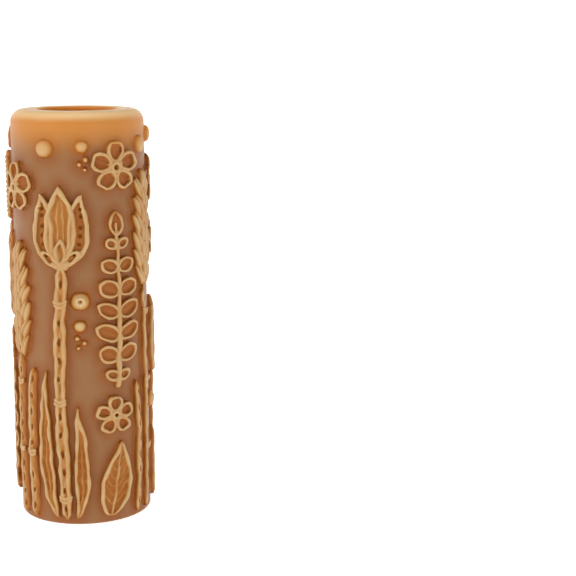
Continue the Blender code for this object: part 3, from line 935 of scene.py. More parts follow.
@dataclass(frozen=True)
class LongLeaf:
    """A leaf that follows its CAD node's outline: rims, a midrib and slanting side veins."""

    panel_rise: float = 0.62 * MM
    rim_radius: float = 0.46 * MM
    rim_rise: float = 0.98 * MM
    midrib_radius: float = 0.36 * MM
    vein_radius: float = 0.22 * MM
    vein_pitch: float = 2.6 * MM
    vein_climb: float = 1.1
    vein_reach_share: float = 0.85
    vein_bend_shares: Pair = (0.40, 0.35)
    midrib_lift: float = 0.1 * MM
    pitch: float = 0.8 * MM
    tip_length: float = 3.0 * MM
    tip_rim_share: float = 0.5
    midrib_taper: float = 0.5
    bare_rows: float = 1.5

    def build(self, node: str) -> Object:
        """Builds the leaf of that CAD node.

        Args:
            node: the node that it stands for.

        Returns:
            The finished piece.
        """
        strand = Strand.read(node)
        bed = Bed(f"{node}_carved")
        ups = np.linspace(0.0, strand.length, round(strand.length / self.pitch))
        middles = np.interp(ups, strand.ups, strand.middles)
        halves = np.interp(ups, strand.ups, strand.halves)
        bed.strip(middles, halves, ups, self.panel_rise)
        ends = np.clip(np.minimum(ups, strand.length - ups) / self.tip_length, 0.0, 1.0)
        rims = self.rim_radius * (self.tip_rim_share + (1.0 - self.tip_rim_share) * ends)
        inner = np.maximum(halves - rims, 0.0)
        trimmed = np.clip(ups, self.rim_radius, strand.length - self.rim_radius)
        for side in (-1, 1):
            bed.roll(np.column_stack([middles + side * inner, trimmed]), rims, self.rim_rise)
        # The midrib stops short of both ends
        span = slice(1, -2)
        taper = np.linspace(1.0, self.midrib_taper, len(ups))[span]
        midrib = np.column_stack([middles, ups])[span]
        bed.roll(midrib, self.midrib_radius * taper, self.panel_rise + self.midrib_lift)
        bare = self.bare_rows * self.vein_pitch
        out, climb = self.vein_bend_shares
        for up in np.arange(bare, strand.length - bare, self.vein_pitch):
            for side in (-1, 1):
                half, middle = strand.half(up), strand.middle(up)
                end = up + self.vein_climb * half
                tip = (strand.middle(end) + side * strand.half(end) * self.vein_reach_share, end)
                bend = (middle + side * half * out, up + climb * half)
                vein = smooth_line(((middle, up), bend, tip), steps=4)
                bed.roll(vein, self.vein_radius, self.panel_rise)
        form = wrap(bed.press())
        return stand(form, strand.turn, strand.foot)


@dataclass
class Tulips:
    """The tulips: a cup of three petals in a calyx, a furrowed stem and two long leaves each.

    The shares of a petal, sepal or collar are of the cup's width and height.
    """

    numbers: tuple[int, ...] = (1, 2, 3)
    width_share: float = 0.9
    belly_up: float = 0.40
    belly_shares: Pair = (0.40, 0.37)
    belly_rise: float = 0.95 * MM
    side_panel_rise: float = 0.72 * MM
    side_rim_rise: float = 1.18 * MM
    rim_radius: float = 0.58 * MM
    side_rim_share: float = 0.9
    outer_shares: tuple[Pair, ...] = (
        (0.03, 0.010), (0.22, 0.065), (0.39, 0.22), (0.447, 0.42), (0.425, 0.62), (0.36, 0.79), (0.335, 0.88),
    )
    inner_shares: tuple[Pair, ...] = (
        (0.02, 0.030), (0.09, 0.13), (0.14, 0.32), (0.15, 0.52), (0.18, 0.70), (0.25, 0.81), (0.335, 0.88),
    )
    side_dots: int = 6
    dot_span: Pair = (0.26, 0.72)
    dot_place: float = 0.55
    dot_taper: float = 0.5
    dot_size: Triple = (0.42 * MM, 0.50 * MM, 0.62 * MM)
    centre_foot: float = 0.03
    centre_shares: Pair = (0.52, 0.965)
    sepal_foot: float = 0.015
    sepal_width: float = 0.20
    sepals: tuple[Pair, ...] = ((-1, 0.30), (1, 0.30), (0, 0.36))
    sepal_lean: float = math.radians(48)
    collars: tuple[Pair, ...] = ((0.045, 0.115), (-0.010, 0.090))
    collar_bow: float = 0.02
    collar_radius: float = 0.62 * MM
    collar_swell: float = 3.0
    collar_rise: float = 1.12 * MM
    centre: Petal = Petal(
        half_shares=((0.0, 0.0), (0.28, 0.12), (0.49, 0.36), (0.43, 0.62), (0.22, 0.84), (0.0, 1.0)),
        panel_rise=1.02 * MM,
        rim_rise=1.32 * MM,
        rim_radius=0.52 * MM,
        rib_radius=0.30 * MM,
        veins=Veins.RIBS,
        ribs=4,
    )
    sepal: Petal = Petal(
        half_shares=((0.16, 0.0), (0.36, 0.25), (0.50, 0.52), (0.34, 0.82), (0.0, 1.0)),
        panel_rise=0.95 * MM,
        rim_rise=1.40 * MM,
        rim_radius=0.42 * MM,
        rib_radius=0.26 * MM,
        veins=Veins.MIDRIB,
    )

    def _side_petal(self, bed: Bed, size: np.ndarray, side: int) -> None:
        """Lays one of the two petals that stand behind the centre one.

        Args:
            bed: where it goes.
            size: the cup's width and height.
            side: -1 for the left one and 1 for the right one.
        """
        outer = smooth_line(self.outer_shares) * size * (side, 1)
        inner = smooth_line(self.inner_shares) * size * (side, 1)
        bed.plate(np.vstack([outer, inner[-2:0:-1]]), self.side_panel_rise)
        shy = outer - (side * self.rim_radius, 0.0)
        rim = np.vstack([shy[:-2], inner[-2:2:-1]])
        bed.roll(rim, self.rim_radius * self.side_rim_share, self.side_rim_rise, closed=True)
        middle = outer * self.dot_place + inner * (1.0 - self.dot_place)
        half_width, half_length, depth = self.dot_size
        for step in np.linspace(*self.dot_span, self.side_dots):
            across, up = middle[round(step * (len(middle) - 1))]
            share = 1.0 - self.dot_taper * abs(step - 0.5)
            bed.prick(across, up, half_width * share, half_length * share, depth)

    def _cup(self) -> Object:
        """Builds one cup, bent and ready to be copied to each tulip.

        Returns:
            The cup.
        """
        seat = Rosette.read(f"tulip_{self.numbers[0]}_head")
        size = np.array((seat.width / self.width_share, seat.height))
        width, height = size
        bed = Bed("tulip_cup")
        half_width, half_height = self.belly_shares
        halves = (half_width * width, self.belly_rise, half_height * height)
        bed.pellet((0.0, 0.0, self.belly_up * height), halves)
        for side in (-1, 1):
            self._side_petal(bed, size, side)
        self.centre.lay(bed, (0.0, self.centre_foot * height), *(self.centre_shares * size))
        foot = (0.0, self.sepal_foot * height)
        for turn, length in self.sepals:
            self.sepal.lay(bed, foot, self.sepal_width * width, length * height, turn * self.sepal_lean)
        for up, reach in self.collars:
            end = up + self.collar_bow
            collar = smooth_line(((-reach, end), (0.0, up), (reach, end)), steps=5) * size
            bed.roll(collar, self.collar_radius * (1.0 + self.collar_swell * up), self.collar_rise)
        return wrap(bed.press())

    def build(self) -> Pieces:
        """Builds every tulip.

        Returns:
            Each piece with the node that it stands for.
        """
        cup = self._cup()
        made = []
        for number in self.numbers:
            node = f"tulip_{number}_head"
            seat = Rosette.read(node)
            made.append(stand_copy(cup, node, seat.turn, seat.foot))
            made.append((TULIP_STEM.build(f"tulip_{number}_stem"), f"tulip_{number}_stem"))
            for side in ("left", "right"):
                node = f"tulip_{number}_leaf_{side}"
                made.append((LongLeaf().build(node), node))
        bpy.data.objects.remove(cup)
        return made


@dataclass
class Barley:
    """The barley: cleft grains in a herringbone on a carved stalk, with awns at the tip."""

    numbers: tuple[int, ...] = (1, 2, 3)
    width: float = 7.8 * MM
    length: float = 29.0 * MM
    rows: int = 7
    grain_half_width: float = 0.80 * MM
    grain_half_depth: float = 1.12 * MM
    side_length_share: float = 0.78
    middle_length_share: float = 0.70
    first_share: float = 0.72
    side_place_share: float = 0.52
    widest: float = 0.72
    fullness: float = 0.5
    grain_lean: float = math.radians(24)
    cleft: float = 0.56 * MM
    side_rise: float = 0.55 * MM
    middle_rise: float = 0.83 * MM
    rib_span: Pair = (0.8 * MM, 3.5 * MM)
    rib_steps: int = 8
    rib_radius: float = 1.1 * MM
    rib_rise: float = 0.1 * MM
    awn_count: int = 3
    awn_spread: float = 0.16
    awn_rows: float = 1.9
    awn_inset: float = 5 * MM
    awn_shortening: float = 6 * MM
    awn_bend: float = 0.6
    awn_radius: float = 0.36 * MM
    awn_taper: Pair = (1.3, 0.6)
    awn_rise: float = 0.36 * MM

    def _ear(self) -> Object:
        """Builds one ear, bent and ready to be copied.

        Returns:
            The ear.
        """
        bed = Bed("barley_ear")
        pitch = self.length / self.rows
        low, high = self.rib_span
        ups = np.linspace(low, self.length - high, self.rib_steps)
        bed.roll(np.column_stack([np.zeros_like(ups), ups]), self.rib_radius, self.rib_rise)
        for pair in range(self.rows - 1):
            share = math.sin(math.pi * ((pair + 0.5) / self.rows) ** self.widest) ** self.fullness
            up = (pair + self.first_share) * pitch
            across = self.side_place_share * share * self.width / 2
            for side in (-1, 1):
                place = (side * across, self.side_rise, up)
                self._grain(bed, place, side * self.grain_lean, self.side_length_share * pitch, share)
            place = (0.0, self.middle_rise, up + pitch / 2)
            self._grain(bed, place, 0.0, self.middle_length_share * pitch, share)
        self._add_awns(bed, pitch)
        return wrap(bed.press())

    def _add_awns(self, bed: Bed, pitch: float) -> None:
        """Lays the awns, which fan out over the topmost grains.

        Args:
            bed: where they go.
            pitch: the height of a row of grains.
        """
        for number in range(self.awn_count):
            lean = (number - (self.awn_count - 1) / 2) * self.awn_spread
            start = self.length - self.awn_rows * pitch
            length = self.length - start - abs(lean) * self.awn_shortening
            bend = (lean * self.awn_bend * length, start + self.awn_bend * length)
            tip = (lean * length, start + length)
            path = smooth_line(((lean * self.awn_inset, start), bend, tip), steps=4)
            bed.roll(path, self.awn_radius * np.linspace(*self.awn_taper, len(path)), self.awn_rise)

    def _grain(self, bed: Bed, centre: Triple, lean: float, half_length: float, share: float) -> None:
        """Lays one grain as two slim pellets side by side, so that a cleft runs between them.

        Args:
            bed: where it goes.
            centre: its (across, rise, up).
            lean: how far its top leans to the right, in radians.
            half_length: half its length.
            share: how wide it is, where 1 is the widest grain.
        """
        for side in (-1, 1):
            shift = side * self.cleft * share
            place = (centre[0] + shift * math.cos(lean), centre[1], centre[2] - shift * math.sin(lean))
            halves = (self.grain_half_width * share, self.grain_half_depth, half_length)
            bed.pellet(place, halves, lean)

    def build(self) -> Pieces:
        """Builds every stalk and ear.

        Returns:
            Each piece with the node that it stands for.
        """
        ear = self._ear()
        made = []
        for number in self.numbers:
            node = f"barley_{number}_ear"
            seat = Rosette.read(node)
            made.append(stand_copy(ear, node, seat.turn, seat.foot + seat.height - self.length))
            node = f"barley_{number}_stalk"
            made.append((STALK.build(node), node))
        bpy.data.objects.remove(ear)
        return made


@dataclass
class Reeds:
    """The reeds: a blunt head studded with seeds, a spike over it and a carved stalk."""

    numbers: tuple[int, ...] = (1, 2)
    crest_rise: float = 1.50 * MM
    seed_radius: float = 0.44 * MM
    seed_pitch: float = 1.2 * MM
    seed_columns: int = 6
    seed_length_share: float = 1.35
    bare_share: float = 0.55
    edge_angle: float = math.radians(62)
    core_share: float = 0.92
    core_ends: Triple = (0.15, 0.5, 1.0)
    spike_steps: int = 12
    spike_reach: float = 0.6 * MM
    spike_rise: float = 0.35 * MM
    spike_shares: Pair = (0.9, 1.1)
    spike_foot_steps: int = 3

    def _head(self) -> Object:
        """Builds one head, bent and ready to be copied.

        Returns:
            The head.
        """
        strand = Strand.read(f"reed_{self.numbers[0]}_head")
        bed = Bed("reed_head")
        radius = strand.halves.max() * self.core_share
        axis_rise = self.crest_rise - radius
        near = [share * radius for share in self.core_ends]
        ups = near + [strand.length - inset for inset in reversed(near)]
        core = smooth_line([(0.0, up) for up in ups], steps=5)
        bed.roll(core, self._dome(core[:, 1], strand.length, radius), axis_rise)
        rows = round((strand.length - 2 * self.bare_share * radius) / self.seed_pitch)
        seed = (self.seed_radius, self.seed_radius, self.seed_length_share * self.seed_radius)
        for row in range(rows):
            up = self.bare_share * radius + (row + 0.5) * self.seed_pitch
            here = float(self._dome(np.array([up]), strand.length, radius)[0])
            for column in range(self.seed_columns + row % 2 - 1):
                share = (column + 0.5 + 0.5 * ((row + 1) % 2)) / self.seed_columns * 2 - 1
                angle = share * self.edge_angle
                place = (here * math.sin(angle), axis_rise + here * math.cos(angle), up)
                bed.pellet(place, seed)
        return wrap(bed.press(softness=3))

    @staticmethod
    def _dome(ups: np.ndarray, length: float, radius: float) -> np.ndarray:
        """The core's radius at each height, with a round dome at either end."""
        inset = np.minimum(ups, length - ups)
        return np.sqrt(np.clip(1 - (1 - np.minimum(inset / radius, 1.0)) ** 2, 0.0, 1.0)) * radius

    def _spike(self, node: str) -> Object:
        """Builds the slim spike over a head.

        Args:
            node: the node that it stands for.

        Returns:
            The spike in its place.
        """
        strand = Strand.read(node)
        bed = Bed(f"{node}_carved")
        ups = np.linspace(-self.spike_reach, strand.length, self.spike_steps)
        halves = np.interp(ups, strand.ups, strand.halves)
        foot_share, share = self.spike_shares
        halves[: self.spike_foot_steps] = strand.halves.max() * foot_share
        bed.roll(np.column_stack([np.zeros_like(ups), ups]), halves * share, self.spike_rise)
        return stand(wrap(bed.press(softness=3)), strand.turn, strand.foot)

    def build(self) -> Pieces:
        """Builds every reed.

        Returns:
            Each piece with the node that it stands for.
        """
        head = self._head()
        made = []
        for number in self.numbers:
            node = f"reed_{number}_head"
            strand = Strand.read(node)
            made.append(stand_copy(head, node, strand.turn, strand.foot))
            made.append((self._spike(f"reed_{number}_spike"), f"reed_{number}_spike"))
            made.append((STALK.build(f"reed_{number}_stalk"), f"reed_{number}_stalk"))
        bpy.data.objects.remove(head)
        return made


@dataclass
class Ferns:
    """The ferns: rimmed leaflets in pairs along a rib that bows a little."""

    numbers: tuple[int, ...] = (1, 2, 3)
    width: float = 11.4 * MM
    pairs: int = 7
    sway: float = 0.6 * MM
    rib_radius: float = 0.62 * MM
    rib_rise: float = 0.95 * MM
    rib_taper: Pair = (1.15, 0.6)
    rib_steps: int = 24
    rib_end: float = 0.6
    base_share: float = 0.3
    foot_height: float = 0.5 * MM
    widest: float = 0.7
    fullness: float = 0.7
    climb: float = math.radians(26)
    leaflet_width_share: float = 0.80
    tip_length_share: float = 1.15
    tip_width_share: float = 0.60
    leaflet: Petal = Petal(
        half_shares=((0.10, 0.0), (0.38, 0.18), (0.50, 0.44), (0.40, 0.76), (0.0, 1.0)),
        panel_rise=0.62 * MM,
        rim_rise=1.02 * MM,
        rim_radius=0.38 * MM,
        rib_radius=0.26 * MM,
        veins=Veins.MIDRIB,
    )

    def _spine(self, share: np.ndarray | float) -> np.ndarray | float:
        """How far across the rib runs at that share of the frond's length."""
        return self.sway * np.sin(math.pi * share)

    def _frond(self, node: str) -> Object:
        """Builds one frond, as long as its node.

        Args:
            node: the node that it stands for.

        Returns:
            The frond in its place.
        """
        low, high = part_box(node)
        length = high.z - low.z
        points = node_points(node)
        turn = mean_turn(points[points[:, 2] < low.z + self.foot_height])
        bed = Bed(f"{node}_carved")
        pitch = length / (self.pairs + 1)
        shares = np.linspace(0.0, 1.0 - self.rib_end / (self.pairs + 1), self.rib_steps)
        rib = np.column_stack([self._spine(shares), shares * length])
        radii = self.rib_radius * np.linspace(*self.rib_taper, len(rib))
        for rise in (self.base_share * self.rib_rise, self.rib_rise):
            bed.roll(rib, radii, rise)
        for pair in range(self.pairs):
            share = (pair + 0.5) / (self.pairs + 1)
            swell = math.sin(math.pi * share**self.widest) ** self.fullness
            leaflet_length = swell * self.width / 2 / math.cos(self.climb)
            width = self.leaflet_width_share * min(pitch, leaflet_length)
            foot = share * length - leaflet_length * math.sin(self.climb) / 2
            base = (float(self._spine(foot / length)), foot)
            for side in (-1, 1):
                self.leaflet.lay(bed, base, width, leaflet_length, side * (math.pi / 2 - self.climb))
        tip = self.tip_length_share * pitch
        base = (float(self._spine(1.0 - tip / length)), length - tip)
        self.leaflet.lay(bed, base, self.tip_width_share * tip, tip)
        return stand(wrap(bed.press(softness=3)), turn, low.z)

    def build(self) -> Pieces:
        """Builds every frond, each with the node that it stands for."""
        return [(self._frond(f"fern_{number}"), f"fern_{number}") for number in self.numbers]


@dataclass
class BroadLeaves:
    """The broad leaves, which lie by themselves."""

    numbers: tuple[int, ...] = (1, 2)
    form: LongLeaf = LongLeaf(
        panel_rise=0.72 * MM,
        rim_rise=1.08 * MM,
        rim_radius=0.52 * MM,
        midrib_radius=0.50 * MM,
        vein_radius=0.28 * MM,
        vein_pitch=2.1 * MM,
        pitch=0.5 * MM,
    )

    def build(self) -> Pieces:
        """Builds every broad leaf, each with the node that it stands for."""
        return [(self.form.build(f"broad_leaf_{number}"), f"broad_leaf_{number}") for number in self.numbers]


@dataclass
class Blossoms:
    """The blossoms of one size: five rimmed petals round a ring of stamens."""

    nodes: tuple[str, ...]
    petals: int = 5
    spread_share: float = 0.97
    petal_base_share: float = 0.16
    petal_width_share: float = 0.76
    ring_radius_share: float = 0.16
    ring_wire: float = 0.36 * MM
    ring_rise: float = 1.26 * MM
    ring_steps: int = 24
    heart_share: float = 1.3
    heart_rise: float = 0.3 * MM
    heart_half_depth: float = 0.75 * MM
    pit_radius: float = 0.42 * MM
    pit_depth: float = 0.55 * MM
    stamens: int = 8
    stamen_radius: float = 0.34 * MM
    stamen_rise: float = 0.95 * MM
    stamen_reach: float = 2.0
    petal: Petal = Petal(
        half_shares=((0.06, 0.0), (0.30, 0.16), (0.50, 0.46), (0.47, 0.76), (0.24, 0.97), (0.0, 0.93)),
        panel_rise=0.45 * MM,
        rim_rise=1.06 * MM,
        rim_radius=0.42 * MM,
        rib_radius=0.36 * MM,
        veins=Veins.RIBS,
        ribs=3,
    )

    def _flower(self) -> Object:
        """Builds one blossom, bent and ready to be copied.

        Returns:
            The blossom.
        """
        seat = Rosette.read(self.nodes[0])
        reach = seat.width / 2 / self.spread_share
        bed = Bed(f"{self.nodes[0]}_pattern")
        for number in range(self.petals):
            lean = FULL_TURN * number / self.petals
            inset = self.petal_base_share * reach
            length = (1.0 - self.petal_base_share) * reach
            base = (inset * math.sin(lean), inset * math.cos(lean))
            self.petal.lay(bed, base, self.petal_width_share * reach, length, lean)
        ring = self.ring_radius_share * reach
        heart = self.heart_share * ring
        bed.pellet((0.0, self.heart_rise, 0.0), (heart, self.heart_half_depth, heart))
        bed.roll(circle(ring, self.ring_steps), self.ring_wire, self.ring_rise, closed=True)
        bed.prick(0.0, 0.0, self.pit_radius, self.pit_radius, self.pit_depth)
        for number in range(self.stamens):
            angle = FULL_TURN * (number + 0.5) / self.stamens
            away = self.stamen_reach * ring
            place = (away * math.sin(angle), self.stamen_rise, away * math.cos(angle))
            bed.pellet(place, (self.stamen_radius,) * 3)
        flower = bed.press()
        flower.location.z = seat.height - reach
        Bench.settle(flower)
        return wrap(flower)

    def build(self) -> Pieces:
        """Builds every blossom of this size.

        Returns:
            Each piece with the node that it stands for.
        """
        flower = self._flower()
        made = []
        for node in self.nodes:
            seat = Rosette.read(node)
            made.append(stand_copy(flower, node, seat.turn, seat.foot))
        bpy.data.objects.remove(flower)
        return made


@dataclass
class Berries:
    """The berries: soft domes. Some large ones have a pricked ring, and seeds fall from small ones.

    seeds gives how far across and up each seed lies from the berry's middle, and its radius, in
    millimetres.
    """

    crest_rise: float = 1.48 * MM
    # How much more painted highlight every berry gets
    proud: float = 0.12
    ring_share: float = 0.38
    ring_wire: float = 0.20 * MM
    ring_steps: int = 16
    ring_depth: float = 0.08 * MM
    pit_radius: float = 0.36 * MM
    pit_depth: float = 0.45 * MM
    seed_rise: float = 1.25 * MM
    seeds: tuple[Triple, ...] = ((0.7, -3.0, 0.78), (-0.8, -4.1, 0.70), (0.5, -5.4, 0.64))
    ring_every: int = 3

    def _berry(self, node: str, ringed: bool, side: int) -> Object:
        """Builds one berry in its place.

        Args:
            node: the node that it stands for.
            ringed: whether it has a ring round a pit.
            side: 1, or -1 where its seeds are set off to the other side.

        Returns:
            The berry.
        """
        seat = Rosette.read(node)
        radius = seat.width / 2
        bed = Bed(f"{node}_carved")
        bed.pellet((0.0, 0.0, radius), (radius, self.crest_rise, radius))
        if ringed:
            ring = circle(self.ring_share * radius, self.ring_steps) + (0.0, radius)
            bed.roll(ring, self.ring_wire, self.crest_rise - self.ring_depth, closed=True)
            bed.prick(0.0, radius, self.pit_radius, self.pit_radius, self.pit_depth)
        if "small" in node:
            for across, up, size in self.seeds:
                place = (side * across * MM, 0.0, radius + up * MM)
                bed.pellet(place, (size * MM, self.seed_rise, size * MM))
        return stand(wrap(bed.press(), self.proud), seat.turn, seat.foot)

    def build(self) -> Pieces:
        """Builds every berry in the frame.

        Returns:
            Each piece with the node that it stands for.
        """
        nodes = sorted(node for node in frame["nodes"] if "berry" in node)
        made = []
        for number, node in enumerate(nodes):
            ringed = "large" in node and number % self.ring_every == 0
            made.append((self._berry(node, ringed, 1 - 2 * (number % 2)), node))
        return made


@dataclass
class Grasses:
    """The bare grass stems between the other plants."""

    def build(self) -> Pieces:
        """Builds every grass stem in the frame, each with the node that it stands for."""
        nodes = sorted(node for node in frame["nodes"] if node.startswith("grass"))
        return [(GRASS.build(node), node) for node in nodes]


@dataclass
class Tube:
    """The hollow tube: a turned wall with a soft shoulder on top."""

    bore_radius: float = 9.25 * MM
    shoulder_radius: float = 3.0 * MM
    foot_radius: float = 0.8 * MM
    mouth_radius: float = 0.8 * MM
    wall_pitch: float = 0.5 * MM
    bore_steps: int = 24
    segments: int = 224
    arc_steps: int = 10
    weld: float = 0.01 * MM
    # Painted shade beside each raised form: the band of heights read as its foot, how many of those points
    # are kept, how dark the shade is and how far out it reaches
    foot_band: Pair = (0.25 * MM, 0.45 * MM)
    foot_stride: int = 3
    shade: float = 0.36
    shade_reach: float = 2.1 * MM

    def _arc(self, centre: Pair, radius: float, start: float, end: float) -> list[Pair]:
        """Points along a fillet of the profile, from one angle in degrees to the other."""
        angles = np.radians(np.linspace(start, end, self.arc_steps + 1))
        return [(centre[0] + radius * math.cos(a), centre[1] + radius * math.sin(a)) for a in angles]

    def _profile(self) -> list[Pair]:
        """Draws the wall's closed outline.

        Returns:
            Its (radius, height) points.
        """
        top, outer, mouth = TUBE_LENGTH, TUBE_RADIUS, self.mouth_radius
        inner = self.bore_radius + mouth
        shoulder, foot = self.shoulder_radius, self.foot_radius
        points = self._arc((inner, top - mouth), mouth, 180, 90)
        points += self._arc((outer - shoulder, top - shoulder), shoulder, 90, 0)
        wall = np.arange(top - shoulder - self.wall_pitch, foot + self.wall_pitch / 2, -self.wall_pitch)
        points += [(outer, float(height)) for height in wall]
        points += self._arc((outer - foot, foot), foot, 0, -90)
        points += self._arc((inner, mouth), mouth, -90, -180)
        bore = np.linspace(mouth, top - mouth, self.bore_steps)[1:-1]
        return points + [(self.bore_radius, float(height)) for height in bore]

    def build(self) -> Object:
        """Turns the wall's outline round the axis.

        Returns:
            The finished tube.
        """
        profile = self._profile()
        bpy.ops.mesh.primitive_circle_add(vertices=len(profile), radius=MM, fill_type="NOTHING")
        tube = bpy.context.object
        tube.name = tube.data.name = "roller_tube_turned"
        for vertex, (radius, height) in zip(tube.data.vertices, profile):
            vertex.co = (radius, 0.0, height)
        Bench.open(tube)
        bpy.ops.mesh.spin(steps=self.segments, angle=FULL_TURN, center=(0, 0, 0), axis=(0, 0, 1))
        bpy.ops.mesh.select_all(action="SELECT")
        bpy.ops.mesh.remove_doubles(threshold=self.weld)
        bpy.ops.mesh.normals_make_consistent(inside=False)
        Bench.close()
        Bench.smooth_faces(tube)
        return tube

    def shade_beside(self, tube: Object, forms: Sequence[Object]) -> None:
        """Writes the crest attribute on the tube: lower close beside a raised form, which paints shade there.

        Args:
            tube: the turned tube.
            forms: the raised forms that stand on it.
        """
        lowest, highest = self.foot_band
        feet = []
        for form in forms:
            points = mesh_points(form)
            height = np.hypot(points[:, 0], points[:, 1]) - TUBE_RADIUS
            feet.append(points[(height > lowest) & (height < highest)][:: self.foot_stride])
        feet = np.vstack(feet)
        tree = kdtree.KDTree(len(feet))
        for number, point in enumerate(feet):
            tree.insert(point, number)
        tree.balance()
        near = np.array([tree.find(point)[2] for point in mesh_points(tube)])
        write_share(tube, "crest", EVEN_SKIN - self.shade * np.exp(-((near / self.shade_reach) ** 2)))


@dataclass(frozen=True)
class Resin:
    """Satin cast resin, with a painted highlight on what stands proud and painted shade in the hollows.

    Colours are linear. The four stops of the ramp that the crest attribute reads are painted shade at the
    foot and in the hollows, the resin's own colour as its body, and a painted highlight on the crests. The
    ramp's level also rises with height over the tube, a painted light that lightens tops and darkens feet.
    The painted glow near the top and in the deep bore stands in for light through the resin's translucency,
    as thin rims let more light through than the thick wall does, and the pale rim at the top is a painted
    highlight. Each band gives where a change starts and ends: below the top for the glow and rim, and out
    from the axis for the bore.
    """

    name: str
    # The ramp's stops: painted shade at the foot and in the hollows, the resin's own colour as its body, and
    # a painted highlight on the crests
    foot: Triple
    painted_hollow_shade: Triple
    body: Triple
    crest: Triple
    # Painted light by height over the tube: how much it raises the ramp, where it starts, and the height that
    # gets all of it
    rise_light_share: float
    rise_light_offset: float
    stops: tuple[float, float, float, float] = (0.0, 0.20, 0.50, 0.98)
    rise_light_full: float = 1.5 * MM
    # A painted glow near the top, standing in for light through the thinner resin
    glow: Triple = (0.59, 0.220, 0.028)
    glow_band: Pair = (11.5 * MM, 2.5 * MM)
    glow_share: float = 0.75
    # A painted highlight on the rim at the top
    rim: Triple = (0.84, 0.59, 0.30)
    rim_band: Pair = (2.6 * MM, 0.4 * MM)
    rim_share: float = 0.80
    # A painted glow in the bore, standing in for light through the resin
    bore: Triple = (0.66, 0.20, 0.012)
    bore_band: Pair = (10.2 * MM, 9.3 * MM)
    noise_band: Pair = (0.3, 0.7)
    noise_detail: float = 2.0
    mottle_detail: float = 3.0
    mottle_scale: float = 140.0
    mottle_share: float = 0.035
    soft_scale: float = 330.0
    soft_strength: float = 0.35
    soft_depth: float = 0.30 * MM
    grain_scale: float = 2600.0
    grain_strength: float = 0.12
    grain_depth: float = 0.05 * MM
    roughness: float = 0.42
    roughness_spread: float = 0.05
    scatter: float = 0.15
    scatter_scale: float = 0.4 * MM
    scatter_radius: Triple = (1.0, 0.42, 0.16)
    ior: float = 1.46
    specular: float = 0.28

    def make(self) -> bpy.types.Material:
        """Builds the material.

        Returns:
            The material, ready to go on a piece.
        """
        material = bpy.data.materials.new(self.name)
        material.use_nodes = True
        tree = material.node_tree
        shader = tree.nodes["Principled BSDF"]
        place = tree.nodes.new("ShaderNodeTexCoord").outputs["Object"]
        tree.links.new(self._colour(tree, place), shader.inputs["Base Color"])
        shader.inputs["Subsurface Weight"].default_value = self.scatter
        shader.inputs["Subsurface Radius"].default_value = self.scatter_radius
        shader.inputs["Subsurface Scale"].default_value = self.scatter_scale
        shader.inputs["IOR"].default_value = self.ior
        shader.inputs["Specular IOR Level"].default_value = self.specular
        fine = self._noise(tree, place, self.grain_scale, self.noise_detail)
        rough = (self.roughness - self.roughness_spread, self.roughness + self.roughness_spread)
        tree.links.new(self._range(tree, fine, self.noise_band, rough), shader.inputs["Roughness"])
        soft = self._noise(tree, place, self.soft_scale, self.noise_detail)
        soft = self._bump(tree, soft, self.soft_strength, self.soft_depth)
        grain = self._bump(tree, fine, self.grain_strength, self.grain_depth, soft)
        tree.links.new(grain, shader.inputs["Normal"])
        return material

    def _colour(self, tree: Tree, place: Socket) -> Socket:
        """Builds the colour: the ramp of painted highlight and shade, with the painted glow near the top, the
        painted highlight on the rim and the painted glow in the bore over it.

        Args:
            tree: the material's nodes.
            place: the point's object coordinates.

        Returns:
            The colour's socket.
        """
        up = self._node(tree, "ShaderNodeSeparateXYZ", {0: place}).outputs["Z"]
        flat = self._node(tree, "ShaderNodeVectorMath", {0: place, 1: (1.0, 1.0, 0.0)}, operation="MULTIPLY")
        away = self._node(tree, "ShaderNodeVectorMath", {0: flat.outputs[0]}, operation="LENGTH")
        radius = away.outputs["Value"]
        # Painted light by height over the tube: the tops of raised forms lighter and their feet darker
        heights = (TUBE_RADIUS, TUBE_RADIUS + self.rise_light_full)
        lift = self._range(tree, radius, heights, (self.rise_light_offset, self.rise_light_offset + self.rise_light_share))
        # The crest attribute: painted highlight on edges that stand proud, painted shade in hollows and
        # beside raised forms
        marked = self._node(tree, "ShaderNodeAttribute", {}, attribute_name="crest").outputs["Fac"]
        mottle = self._noise(tree, place, self.mottle_scale, self.mottle_detail)
        mottle = self._range(tree, mottle, self.noise_band, (-self.mottle_share, self.mottle_share))
        level = self._sum(tree, self._sum(tree, marked, lift), mottle)
        ramp = self._node(tree, "ShaderNodeValToRGB", {"Fac": level})
        elements = ramp.color_ramp.elements
        elements[0].position, elements[1].position = self.stops[0], self.stops[-1]
        for position in self.stops[1:-1]:
            elements.new(position)
        for element, colour in zip(elements, (self.foot, self.painted_hollow_shade, self.body, self.crest)):
            element.color = (*colour, 1.0)
        colour = ramp.outputs["Color"]
        # Painted glow near the top, then a painted highlight on the rim
        glow = (self.glow, self.glow_band, self.glow_share)
        rim = (self.rim, self.rim_band, self.rim_share)
        for tint, (start, end), share in (glow, rim):
            near_top = self._range(tree, up, (TUBE_LENGTH - start, TUBE_LENGTH - end), (0.0, share))
            colour = self._mix(tree, near_top, colour, tint)
        # Painted glow in the bore
        inside = self._range(tree, radius, self.bore_band, (0.0, 1.0))
        return self._mix(tree, inside, colour, self.bore)

    @staticmethod
    def _node(tree: Tree, kind: str, inputs: dict, **settings: object) -> bpy.types.Node:
        """Adds a node.

        Args:
            tree: where it goes.
            kind: its type.
            inputs: a value or a socket for each input that is filled.
            settings: its settings by name.

        Returns:
            The node.
        """
        node = tree.nodes.new(kind)
        for key, value in settings.items():
            setattr(node, key, value)
        for key, value in inputs.items():
            if isinstance(value, Socket):
                tree.links.new(value, node.inputs[key])
            else:
                node.inputs[key].default_value = value
        return node

